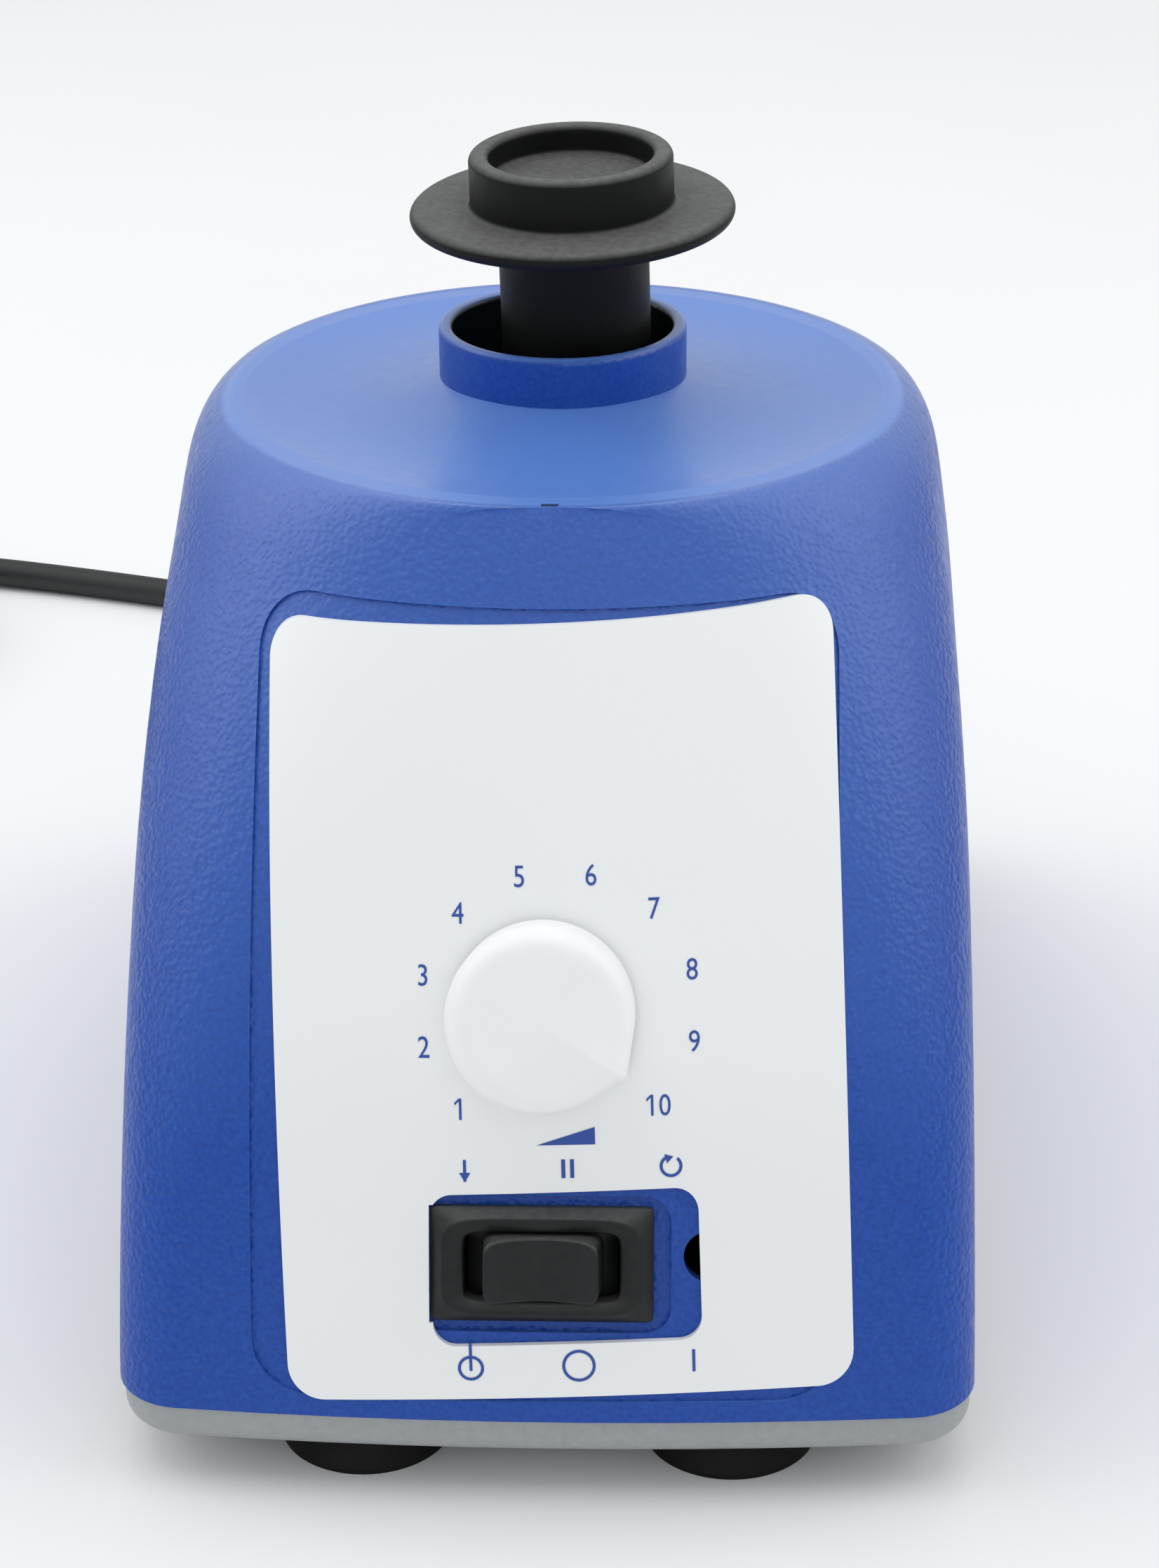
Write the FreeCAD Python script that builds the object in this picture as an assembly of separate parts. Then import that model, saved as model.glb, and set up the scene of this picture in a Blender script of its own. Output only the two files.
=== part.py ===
import FreeCAD, Part
import math
import os

V = FreeCAD.Vector
UP = V(0, 0, 1)
ACROSS = V(1, 0, 0)
BACK = V(0, 1, 0)
TAIL = V(-1, 0, 0)

# Overall size in millimetres: front is -Y, up is +Z, origin on the bench under the drive axis
base_length = 211.0
base_width = 121.8
total_height = 164.4
head_rise = 35.9

# Housing form: a bowed, rounded outline at the seam that draws in to a nearly round rim
seam_z = 13.0
rim_z = total_height - head_rise
rim_front = 54.3
rim_back = 53.5
upright_share = 0.48
side_taper = 2.0
side_draw = 5.3
side_power = 9.0
front_bow_seam = 590.0
front_bow_rim = 66.0
side_bow_seam = 9000.0
side_bow_rim = 64.0
front_bow_power = 3.6
side_bow_power = 9.0
corner_seam = 10.0
corner_rim = 48.0
corner_power = 1.67
shoulder_radius = 7.4
shoulder_turn = math.radians(65.0)
shoulder_steps = 3
wall_levels = 9
level_crowding = 1.35
wall = 3.0
roof = 4.0

# Top dish and the collar that guards the drive
dish_radius = 48.0
dish_shift = -2.5
dish_dip = 1.3
dish_dip_share = 0.68
collar_radius = 18.65
collar_bore = 16.6
collar_rise = 9.2
collar_root = 1.9
collar_round = 0.8

# Front recess, label film and the windows through it
recess_width = 80.6
recess_top_margin = 11.9
recess_low_margin = 2.9
recess_round = 8.0
recess_depth = 0.5
front_reach = (rim_z - seam_z) / 2
label_width = 78.2
label_margin = 2.7
label_round = 5.0
label_film = 0.25
label_gap = 0.05
label_shift = 2.1
label_drop = 0.4
label_skew = 2.2
window_width = 37.0
window_height = 20.6
window_round = 3.2
window_shift = 3.2
window_drop = 0.35
label_knob_hole = 8.5

# Base tray, feet and their screws
base_seam_gap = 0.4
base_inset = 0.6
base_bottom = 6.5
base_floor = 2.0
base_edge_round = 3.4
base_wall = 2.6
foot_inset_x = 34.8
foot_inset_y = 17.5
foot_radius = 12.4
foot_neck = 10.4
foot_lip = 0.8
foot_cone = 4.4
foot_hollow = 10.6
foot_seat = 3.6
foot_dome = 2.0
screw_radius = 2.0
screw_slip = 0.2
thread_slip = 0.04
screw_head = 4.0
screw_head_height = 1.5
foot_screw_length = 11.0
base_screw_length = 12.0
base_screw_head_height = 2.4
mount_screw_length = 20.0
thread_depth = 14.0
head_room = 0.5
foot_boss = 4.5
foot_boss_height = 6.5
boss_inset_x = 16.9
boss_inset_y = 33.5
boss_radius = 4.2
boss_drop = 38.5
vent_length = 46.0
vent_width = 3.0
vent_pitch = 9.0
vent_count = 5

# Speed control: knob, potentiometer, nut
knob_z = 68.0
knob_radius = 13.0
knob_point = 14.2
knob_tip_radius = 0.7
knob_height = 14.0
knob_lift = 0.8
knob_round = 3.4
knob_round_steps = 4
knob_rest = 126.0
knob_cavity = 9.5
knob_cavity_depth = 3.8
shaft_slip = 0.06
pot_shaft_radius = 3.0
pot_shaft_tip = 10.5
pot_shaft_root = 10.0
pot_bushing = 4.6
pot_bushing_top = 3.6
pot_radius = 11.5
pot_depth = 11.0
pot_nut_across = 12.0
pot_nut_height = 2.0
fit_slip = 0.12

# Control board behind the panel
board_width = 64.0
board_low = 15.0
board_high = 34.0
board_thick = 1.6
post_x = 26.0
post_rise = 28.0
post_radius = 3.4
board_screw = 1.4
board_screw_head = 2.6
board_screw_head_height = 1.4
board_screw_length = 7.0
sink_width = 30.0
sink_height = 22.0
sink_base = 2.5
sink_fin = 12.0
sink_fin_thick = 1.6
sink_fins = 6
sink_rise = 19.0
capacitor_radius = 6.0
capacitor_height = 15.0
capacitor_x = 23.0
capacitor_rise = -5.0
block_width = 20.0
block_height = 9.0
block_depth = 10.0
block_x = -20.0
block_rise = -7.0

# Three-way rocker switch
switch_z = 35.0
pocket_width = 35.4
pocket_height = 19.4
pocket_round = 3.6
pocket_depth = 1.6
bezel_width = 30.6
bezel_height = 16.2
bezel_slab = 1.1
bezel_rise = 1.7
bezel_bevel_x = 2.2
bezel_bevel_y = 1.5
opening_width = 21.4
opening_height = 9.8
switch_body_width = 27.6
switch_body_height = 12.6
switch_body_depth = 20.0
switch_slip = 0.25
rocker_slip = 0.35
rocker_pivot = -2.0
rocker_face = 16.2
rocker_top = 5.0
rocker_dip = 1.3
rocker_shelf = -1.6
rocker_round = 0.8
rocker_keel = 4.0
terminal_width = 6.3
terminal_thick = 0.8
terminal_length = 8.0
terminal_pitch = 8.6
spare_hole = 3.6
spare_hole_x = 23.0
spare_hole_z = 36.2

# Motor stack on the drive axis, hung under the roof on rubber mounts
post_span_x = 30.0
post_span_y = 26.0
mount_post = 5.0
mount_drop = 24.5
isolator_radius = 6.5
isolator_height = 6.0
plate_thick = 3.0
plate_width = 76.0
plate_length = 68.0
bell_radius = 31.0
bell_wall = 2.5
bell_disc = 4.0
bell_depth = 9.5
stator_height = 18.0
stator_bore = 17.6
winding_inner = 20.0
winding_outer = 27.0
winding_height = 5.0
rotor_gap = 0.5
rotor_ring = 2.0
bush_radius = 7.0
bush_over = 2.0
shaft_radius = 4.0
run_slip = 0.03
seat_slip = 0.02
bolt_circle = 24.0
bolt_radius = 1.7
bolt_head = 3.0
bolt_head_height = 2.0
fan_radius = 25.0
fan_hub = 7.0
fan_disc = 1.6
fan_height = 5.0
fan_blades = 8
fan_blade_thick = 1.4
fan_gap = 1.2
shaft_tail = 2.0

# Eccentric drive and mixing head
orbit = 2.45
orbit_angle = math.radians(7.0)
lean_front = math.radians(4.0)
lean_left = math.radians(2.0)
press_travel = 2.0
hub_gap = 3.0
hub_radius = 15.4
hub_neck = 8.5
hub_height = 18.0
bearing_radius = 11.0
bearing_bore = 4.0
bearing_height = 7.0
bearing_split = 6.2
bearing_gap = 0.4
weight_radius = 26.0
weight_height = 7.0
set_screw_radius = 2.0
set_screw_length = 9.0
spindle_flange = 5.6
spindle_flange_height = 2.4
stem_radius = 11.2
stem_drop = 4.5
flange_radius = 24.1
flange_under_drop = 11.2
flange_high_drop = 7.7
flange_thick = 2.5
flange_root_drop = 6.5
cup_radius = 15.1
cup_bore = 12.1
cup_depth = 4.2
cup_lip = 1.3
cup_root_round = 1.0
spindle_cover = 3.5

# Touch-start plunger and its switch on a pedestal under the shaft
plunger_radius = 4.0
touch_stand = 2.1
guide_width = 27.0
guide_depth = 16.0
guide_top_drop = 3.5
touch_width = 20.0
touch_thick = 6.4
touch_height = 11.0
touch_button_radius = 1.6
touch_button_out = 3.2
touch_button_in = 4.0
touch_slip = 0.1

# Mains lead: boot, free stretch, put-away coil and plug
cord_radius = 3.1
cord_exit_z = 22.0
pad_width = 26.0
pad_top = 34.0
pad_depth = 44.0
boot_hole = 6.0
boot_flange = 8.0
boot_flange_thick = 2.5
boot_grip = 4.5
boot_root = 6.4
boot_tip = 4.4
boot_length = 30.5
boot_grooves = 4
boot_groove_width = 2.2
boot_groove_depth = 0.8
arc_share = 0.45
first_run = 33.0
turn_x = 20.0
turn_run = 71.0
pass_x = 68.0
view_x = 126.0
view_y = 230.0
coil_center_x = -192.0
coil_center_y = 190.0
coil_outer = 46.2
coil_pitch = 7.1
coil_turns = 3.25
tie_width = 8.0
tie_thick = 0.6
tie_slack = 0.25
plug_length = 34.0
plug_half_width = 12.5
plug_half_height = 10.0
plug_neck = 33.0
plug_neck_radius = 6.4
plug_neck_step = 0.6
plug_round = 3.0
blade_width = 6.4
blade_thick = 1.5
blade_length = 16.0
blade_apart = 12.7
earth_radius = 2.4
earth_length = 18.5
earth_drop = 5.2

# Levels worked out from the sizes above
shoulder_z = rim_z - shoulder_radius * math.sin(shoulder_turn)
collar_top = rim_z + collar_rise
collar_foot = rim_z + collar_root
boss_top = rim_z - boss_drop
foot_x = base_width / 2 - foot_inset_x
foot_y = base_length / 2 - foot_inset_y
boss_x = base_width / 2 - boss_inset_x
boss_y = base_length / 2 - boss_inset_y
pad_face = base_length / 2
stem_bottom = rim_z - stem_drop
flange_under = total_height - flange_under_drop
flange_edge_high = total_height - flange_high_drop
flange_edge_low = flange_edge_high - flange_thick
flange_root = total_height - flange_root_drop
roof_under = rim_z - dish_dip - roof
base_top = seam_z - base_seam_gap
floor_top = base_bottom + base_floor
mount_end = rim_z - mount_drop
plate_top = mount_end - isolator_height
plate_under = plate_top - plate_thick
stator_top = plate_under - bell_depth
stator_under = stator_top - stator_height
bell_under = stator_under - bell_depth
fan_top = bell_under - bush_over - fan_gap
shaft_end = fan_top - fan_height - shaft_tail
hub_under = plate_top + hub_gap
hub_top = hub_under + hub_height
bearing_under = hub_top - bearing_height - seat_slip
spindle_top = total_height - cup_depth - spindle_cover
touch_top = floor_top + touch_stand + touch_height
plunger_end = touch_top + touch_button_out
head_x = orbit * math.cos(orbit_angle)
head_y = orbit * math.sin(orbit_angle)
lean_z = hub_top + spindle_flange_height
cord_end_y = pad_face + boot_flange_thick + boot_length
coil_lay = cord_radius + tie_thick + tie_slack / 2
coil_inner = coil_outer - coil_pitch * coil_turns


def share(z):
    return (z - seam_z) / (rim_z - seam_z)


def blend(low, high, z, power):
    return low + (high - low) * max(share(z), 0.0) ** power


def draw(z):
    """Share of the run from seam to rim: steep at the foot, leaning more towards the rim."""
    u = share(z)
    return upright_share * u + (1.0 - upright_share) * u * u


def front_y(z):
    return -base_length / 2 + (base_length / 2 - rim_front) * draw(z)


def back_y(z):
    return base_length / 2 - (base_length / 2 - rim_back) * draw(z)


def lean(z):
    """Angle of the front face from upright, in degrees."""
    run = (base_length / 2 - rim_front) / (rim_z - seam_z)
    slope = upright_share + 2.0 * (1.0 - upright_share) * share(z)
    return math.degrees(math.atan(run * slope))


def shoulder(z):
    rise = z - shoulder_z
    if rise <= 0.0:
        return 0.0
    return shoulder_radius - math.sqrt(shoulder_radius ** 2 - rise ** 2)


def corner_center(bow_y, bow, side_x, side, mid_y, radius, way):
    """Centre of the corner arc that touches the end bow and the side bow from inside."""
    dx, dy = side_x, mid_y - bow_y
    gap = math.hypot(dx, dy)
    a, b = bow - radius, side - radius
    along = (a * a - b * b + gap * gap) / (2.0 * gap)
    off = math.sqrt(a * a - along * along)
    px, py = dx / gap * along, bow_y + dy / gap * along
    one = (px + dy / gap * off, py - dx / gap * off)
    two = (px - dy / gap * off, py + dx / gap * off)
    return one if one[1] * way > two[1] * way else two


def outward(center, point, radius):
    dx, dy = point[0] - center[0], point[1] - center[1]
    size = math.hypot(dx, dy)
    return (center[0] + dx / size * radius, center[1] + dy / size * radius)


def half_outline(z, inset, way):
    """Points of the right half: end middle, bow end, corner middle, side end (way -1 front, 1 back)."""
    end = front_y(z) + inset if way < 0 else back_y(z) - shoulder(z) - inset
    front, back = front_y(z) + inset, back_y(z) - shoulder(z) - inset
    mid = (front + back) / 2
    drawn = side_taper * share(z) + side_draw * max(share(z), 0.0) ** side_power
    half = base_width / 2 - drawn - shoulder(z) - inset
    bow = 1.0 / blend(1.0 / front_bow_seam, 1.0 / front_bow_rim, z, front_bow_power) - inset
    side = 1.0 / blend(1.0 / side_bow_seam, 1.0 / side_bow_rim, z, side_bow_power) - inset
    radius = blend(corner_seam, corner_rim, z, corner_power) - inset
    bow_y = end - way * bow
    side_x = half - side
    knot = corner_center(bow_y, bow, side_x, side, mid, radius, way)
    on_bow = outward((0.0, bow_y), knot, bow)
    on_side = outward((side_x, mid), knot, side)
    chord = ((on_bow[0] + on_side[0]) / 2, (on_bow[1] + on_side[1]) / 2)
    return (0.0, end), on_bow, outward(knot, chord, radius), on_side, (half, mid)


def section(z, inset):
    """Closed outline of eight tangent arcs at one height."""
    f_mid, f_bow, f_corner, f_side, side = half_outline(z, inset, -1)
    b_mid, b_bow, b_corner, b_side, side = half_outline(z, inset, 1)

    def right(p):
        return V(p[0], p[1], z)

    def left(p):
        return V(-p[0], p[1], z)

    arcs = [
        (left(f_bow), right(f_mid), right(f_bow)),
        (right(f_bow), right(f_corner), right(f_side)),
        (right(f_side), right(side), right(b_side)),
        (right(b_side), right(b_corner), right(b_bow)),
        (right(b_bow), right(b_mid), left(b_bow)),
        (left(b_bow), left(b_corner), left(b_side)),
        (left(b_side), left(side), left(f_side)),
        (left(f_side), left(f_corner), left(f_bow)),
    ]
    return Part.Wire([Part.Arc(a, b, c).toShape() for a, b, c in arcs])


def levels(bottom, top):
    climb = [1.0 - (1.0 - k / wall_levels) ** level_crowding for k in range(wall_levels + 1)]
    tall = [bottom + (shoulder_z - bottom) * k for k in climb]
    for k in range(1, shoulder_steps + 1):
        tall.append(shoulder_z + shoulder_radius * math.sin(shoulder_turn * k / shoulder_steps))
    kept = [z for z in tall if z < top - wall]
    return kept + [top]


def body(inset, bottom, top):
    return Part.makeLoft([section(z, inset) for z in levels(bottom, top)], True, False)


def skin_frame(z, x=0.0):
    """Frame on the front skin: local X across, Y up the slope, Z straight out."""
    return FreeCAD.Placement(V(x, front_y(z), z), FreeCAD.Rotation(ACROSS, 90.0 - lean(z)))


def recess_span():
    """Middle and height of the recess, as seen from straight in front."""
    low = seam_z + recess_low_margin
    high = rim_z - recess_top_margin
    return (low + high) / 2, high - low


def front_cutter(width, height, radius, x, z, turn=0.0):
    """Rounded rectangle seen from the front, carried level through the front wall."""
    solid = tile(width, height, radius, -front_reach, front_reach)
    solid.rotate(V(0, 0, 0), UP, turn)
    solid.rotate(V(0, 0, 0), ACROSS, 90.0)
    solid.translate(V(x, front_y(z), z))
    return solid


def placed(shape, frame):
    shape = shape.copy()
    shape.Placement = frame.multiply(shape.Placement)
    return shape


def fuse(shapes):
    return shapes[0].multiFuse(shapes[1:]).removeSplitter() if len(shapes) > 1 else shapes[0]


def cyl(radius, low, high, x=0.0, y=0.0):
    return Part.makeCylinder(radius, high - low, V(x, y, low))


def ring(outer, inner, low, high, x=0.0, y=0.0):
    return cyl(outer, low, high, x, y).cut(cyl(inner, low, high, x, y))


def block(width, depth, low, high, x=0.0, y=0.0):
    return Part.makeBox(width, depth, high - low, V(x - width / 2, y - depth / 2, low))


def turned(points, x=0.0, y=0.0):
    """Solid of revolution about an upright axis from (radius, height) points."""
    rim = [V(x + r, y, z) for r, z in points]
    face = Part.Face(Part.makePolygon(rim + rim[:1]))
    return face.revolve(V(x, y, 0), UP, 360)


def tile(width, height, radius, low, high, x=0.0, y=0.0):
    """Rectangular prism with rounded upright edges."""
    solid = block(width, height, low, high, x, y)
    upright = [e for e in solid.Edges if abs(e.tangentAt(e.FirstParameter).z) > 0.9]
    return solid.makeFillet(radius, upright)


def four(x, y):
    return [(sx * x, sy * y) for sx in (-1, 1) for sy in (-1, 1)]


def group(shapes):
    return Part.Compound(shapes)


def export(name, shape):
    if shape.ShapeType == "Compound" and len(shape.Solids) == 1:
        shape = shape.Solids[0]
    shape.exportStep("parts/" + name + ".step")
    print(name, "solids", len(shape.Solids), "volume", round(shape.Volume, 1), "valid", shape.isValid())


def top_dish():
    """Raised middle with a shallow moat inside the rim, turned about the dish centre."""
    low = roof_under - wall
    dip = V(collar_radius + (dish_radius - collar_radius) * dish_dip_share, 0, rim_z - dish_dip)
    curve = Part.Arc(V(dish_radius, 0, rim_z), dip, V(collar_bore, 0, collar_foot)).toShape()
    rest = Part.makePolygon([
        V(collar_bore, 0, collar_foot), V(0, 0, collar_foot), V(0, 0, low),
        V(dish_radius, 0, low), V(dish_radius, 0, rim_z)])
    solid = Part.Face(Part.Wire([curve] + rest.Edges)).revolve(V(0, 0, 0), UP, 360)
    solid.translate(V(0, dish_shift, 0))
    return solid


def collar():
    solid = ring(collar_radius, collar_bore, roof_under - 1.0, collar_top)
    crown = [e for e in solid.Edges if e.BoundBox.ZMin > collar_top - wall]
    return solid.makeFillet(collar_round, [e for e in crown if e.Closed])


def boss_column(x, y, outer):
    upper = cyl(boss_radius, seam_z, boss_top, x, y).common(outer)
    lower = cyl(boss_radius, floor_top, seam_z + wall, x, y)
    return fuse([upper, lower])


def recess_tool():
    middle, height = recess_span()
    prism = front_cutter(recess_width, height, recess_round, 0.0, middle)
    return prism.cut(body(recess_depth, seam_z - wall, rim_z))


def switch_tools():
    frame = skin_frame(switch_z)
    pocket = tile(pocket_width, pocket_height, pocket_round, -pocket_depth, 6.0)
    slot_width = switch_body_width + 2 * switch_slip
    slot_height = switch_body_height + 2 * switch_slip
    through = block(slot_width, slot_height, -2.0 * wall, 6.0)
    return [placed(pocket, frame), placed(through, frame)]


def housing_shell():
    outer = body(0.0, seam_z, rim_z)
    dish = top_dish()
    well = cyl(dish_radius, roof_under - wall, rim_z + wall, 0.0, dish_shift)
    shell = outer.cut(well).fuse(dish).fuse(collar())
    pad = block(pad_width, pad_depth, seam_z, pad_top, 0.0, pad_face - pad_depth / 2)
    shell = shell.fuse(pad)
    shell = shell.cut(body(wall, seam_z - wall, roof_under))
    shell = shell.cut(cyl(collar_bore, roof_under - wall, collar_top + wall))
    for x, y in four(boss_x, boss_y):
        shell = shell.fuse(boss_column(x, y, outer))
    for x, y in four(post_span_x, post_span_y):
        shell = shell.fuse(cyl(mount_post, mount_end, roof_under + 1.0, x, y))
    posts = [placed(cyl(post_radius, -pot_depth - wall, 0.0, sx * post_x, post_rise), skin_frame(knob_z))
             for sx in (-1, 1)]
    for post in posts:
        shell = shell.fuse(post.common(outer))
    thread = screw_radius + thread_slip
    for x, y in four(boss_x, boss_y):
        shell = shell.cut(cyl(thread, floor_top - 1.0, floor_top + thread_depth, x, y))
    for x, y in four(post_span_x, post_span_y):
        shell = shell.cut(cyl(thread, mount_end - 1.0, mount_end + thread_depth, x, y))
    for sx in (-1, 1):
        hole = cyl(board_screw + thread_slip, -pot_depth - wall - 1.0, -pot_depth + 5.0, sx * post_x, post_rise)
        shell = shell.cut(placed(hole, skin_frame(knob_z)))
    tools = [recess_tool()] + switch_tools()
    tools.append(placed(cyl(pot_bushing + fit_slip, -2.0 * wall, 6.0), skin_frame(knob_z)))
    tools.append(placed(cyl(spare_hole, -2.0 * wall, 6.0), skin_frame(spare_hole_z, spare_hole_x)))
    entry = Part.makeCylinder(boot_hole + fit_slip, 4.0 * wall, V(0, pad_face - 3.0 * wall, cord_exit_z), BACK)
    seat = Part.makeCylinder(boot_flange + 1.0, 4.0 * wall, V(0, pad_face - boot_grip - 4.0 * wall, cord_exit_z), BACK)
    for tool in tools + [entry, seat]:
        shell = shell.cut(tool)
    return shell


def front_label(shell):
    """Film stuck a little askew in the recess, lapping over its lower edge."""
    middle, height = recess_span()
    film = front_cutter(label_width, height - label_margin, label_round, label_shift, middle - label_drop, label_skew)
    window_z = switch_z - window_drop
    film = film.cut(front_cutter(window_width, window_height, window_round, window_shift, window_z, label_skew))
    film = film.common(body(-label_film, seam_z - wall, rim_z))
    film = film.cut(body(recess_depth - label_gap, seam_z - 2 * wall, rim_z))
    film = film.cut(placed(cyl(label_knob_hole, -front_reach, front_reach), skin_frame(knob_z)))
    room = 2 * switch_slip
    film = film.cut(placed(block(bezel_width + room, bezel_height + room, -front_reach, front_reach), skin_frame(switch_z)))
    return film.cut(shell)


def base_plate():
    outline = Part.Face(section(seam_z, base_inset))
    outline.translate(V(0, 0, base_bottom - seam_z))
    tray = outline.extrude(V(0, 0, base_top - base_bottom))
    lower = [e for e in tray.Edges if e.BoundBox.ZMax < base_bottom + 0.1]
    tray = tray.makeFillet(base_edge_round, lower)
    inner = Part.Face(section(seam_z, base_inset + base_wall))
    inner.translate(V(0, 0, floor_top - seam_z))
    tray = tray.cut(inner.extrude(V(0, 0, base_top)))
    for x, y in four(foot_x, foot_y):
        tray = tray.fuse(cyl(foot_boss, floor_top - 0.5, floor_top + foot_boss_height, x, y))
        tray = tray.cut(cyl(screw_radius + thread_slip, 0.0, floor_top + foot_boss_height + 1.0, x, y))
    for x, y in four(boss_x, boss_y):
        tray = tray.cut(cyl(screw_radius + screw_slip, 0.0, floor_top + 1.0, x, y))
    for k in range(vent_count):
        y = (k - (vent_count - 1) / 2) * vent_pitch + base_length / 5
        slot = tile(vent_length, vent_width, vent_width / 2.1, 0.0, floor_top + 1.0, 0.0, y)
        tray = tray.cut(slot)
    return tray.removeSplitter()


def foot(x, y):
    bore = screw_radius + screw_slip
    seat = screw_head + head_room
    return turned([
        (bore, base_bottom), (bore, foot_seat), (seat, foot_seat), (seat, foot_dome),
        (foot_hollow, 0.0), (foot_radius, 0.0), (foot_radius, foot_lip),
        (foot_neck, foot_cone), (foot_neck, base_bottom)], x, y)


def screw_up(x, y, seat, length, radius, head, head_height):
    """Screw pointing up with its head under the seat."""
    solid = fuse([cyl(radius, seat - 0.1, seat + length, x, y), cyl(head, seat - head_height, seat, x, y)])
    slot = block(head * 2.2, head / 4, seat - head_height, seat - head_height / 2, x, y)
    return solid.cut(slot)


def screws(spots, seat, length, radius=screw_radius, head=screw_head, head_height=screw_head_height):
    return group([screw_up(x, y, seat, length, radius, head, head_height) for x, y in spots])


def rest_turn(shape):
    """Turn a knob piece built pointing up to where the pointer stands."""
    shape = shape.copy()
    shape.rotate(V(0, 0, 0), UP, -knob_rest)
    return placed(shape, skin_frame(knob_z))


def teardrop(inset, z):
    """Outline of a round body with a pointed nose, drawn in evenly by inset, pointing up."""
    radius = knob_radius - inset
    rise = (knob_radius - knob_tip_radius) / (knob_point - knob_tip_radius)
    nose = knob_tip_radius * radius / knob_radius
    tip = (radius - nose) / rise
    wide = math.sqrt(1.0 - rise * rise)
    a = V(radius * wide, radius * rise, z)
    b = V(nose * wide, tip + nose * rise, z)
    c, d = V(-b.x, b.y, z), V(-a.x, a.y, z)
    return Part.Wire([
        Part.makeLine(a, b), Part.Arc(b, V(0, tip + nose, z), c).toShape(),
        Part.makeLine(c, d), Part.Arc(d, V(0, -radius, z), a).toShape()])


def knob_crown(top):
    """Broad round of the knob's edge: the outline drawn in along a quarter circle."""
    turns = [math.pi / 2 * k / knob_round_steps for k in range(knob_round_steps + 1)]
    rims = [teardrop(knob_round * (1.0 - math.cos(t)), top - knob_round * (1.0 - math.sin(t))) for t in turns]
    return Part.makeLoft(rims, True, False)


def speed_knob():
    low, high = knob_lift, knob_lift + knob_height
    skirt = Part.Face(teardrop(0.0, low)).extrude(V(0, 0, knob_height - knob_round))
    solid = fuse([skirt, knob_crown(high)])
    solid = solid.cut(cyl(knob_cavity, low - 1.0, low + knob_cavity_depth))
    return rest_turn(solid.cut(cyl(pot_shaft_radius + shaft_slip, low, pot_shaft_tip + 0.2)))


def pot_shaft():
    return rest_turn(cyl(pot_shaft_radius, -pot_shaft_root, pot_shaft_tip))


def pot_body():
    back = -wall - pot_depth + 0.0
    solid = fuse([cyl(pot_radius, back, -wall), cyl(pot_bushing, -wall - 1.0, pot_bushing_top)])
    return placed(solid.cut(cyl(pot_shaft_radius + fit_slip, -pot_shaft_root - 0.4, pot_bushing_top + 1.0)),
                  skin_frame(knob_z))


def pot_nut():
    corner = pot_nut_across / math.sqrt(3.0)
    seat = -recess_depth * math.cos(math.radians(lean(knob_z)))
    rim = [V(corner * math.cos(k * math.pi / 3), corner * math.sin(k * math.pi / 3), seat) for k in range(7)]
    nut = Part.Face(Part.makePolygon(rim)).extrude(V(0, 0, pot_nut_height))
    return placed(nut.cut(cyl(pot_bushing + thread_slip, -2.0, 4.0)), skin_frame(knob_z))


def on_board(shape):
    """Pieces stand on the far face of the board."""
    return placed(shape, skin_frame(knob_z))


def board_face():
    return -wall - pot_depth - board_thick


def control_board():
    top = -wall - pot_depth
    plate = block(board_width, board_low + board_high, board_face(), top, 0.0, (board_high - board_low) / 2)
    for sx in (-1, 1):
        hole = cyl(board_screw + screw_slip, board_face() - 1.0, top + 1.0, sx * post_x, post_rise)
        plate = plate.cut(hole)
    return on_board(plate)


def board_screws():
    one = []
    for sx in (-1, 1):
        one.append(on_board(screw_up(sx * post_x, post_rise, board_face(), board_screw_length, board_screw,
                                     board_screw_head, board_screw_head_height)))
    return group(one)


def heat_sink():
    face = board_face()
    solid = block(sink_width, sink_height, face - sink_base, face, 0.0, sink_rise)
    for k in range(sink_fins):
        x = (k / (sink_fins - 1) - 0.5) * (sink_width - sink_fin_thick)
        solid = solid.fuse(block(sink_fin_thick, sink_height, face - sink_base - sink_fin, face - 1.0, x, sink_rise))
    return on_board(solid.removeSplitter())


def filter_capacitor():
    face = board_face()
    return on_board(cyl(capacitor_radius, face - capacitor_height, face, capacitor_x, capacitor_rise))


def terminal_block():
    face = board_face()
    solid = block(block_width, block_height, face - block_depth, face, block_x, block_rise)
    for k in (-1, 0, 1):
        x = block_x + k * block_width / 3.2
        solid = solid.cut(cyl(block_height / 4, face - block_depth - 1.0, face - block_depth + 2.0, x, block_rise))
    return on_board(solid)


def bezel(width, height, z):
    rim = [V(-width / 2, -height / 2, z), V(width / 2, -height / 2, z),
           V(width / 2, height / 2, z), V(-width / 2, height / 2, z)]
    return Part.makePolygon(rim + rim[:1])


def switch_frame():
    low = -pocket_depth
    slab = block(bezel_width, bezel_height, low, low + bezel_slab)
    top = low + bezel_slab + bezel_rise
    crown = Part.makeLoft([
        bezel(bezel_width, bezel_height, low + bezel_slab),
        bezel(bezel_width - 2 * bezel_bevel_x, bezel_height - 2 * bezel_bevel_y, top)], True, True)
    case = block(switch_body_width, switch_body_height, low - switch_body_depth, low + 0.2)
    solid = fuse([slab, crown, case])
    solid = solid.cut(block(opening_width, opening_height, rocker_pivot - rocker_keel - 1.0, top + 1.0))
    swing = Part.makeCylinder(opening_width / 2, opening_height, V(0, -opening_height / 2, rocker_pivot), BACK)
    keep = block(opening_width, opening_height, rocker_pivot - opening_width / 2, rocker_pivot)
    return placed(solid.cut(swing.common(keep)), skin_frame(switch_z))


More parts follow.
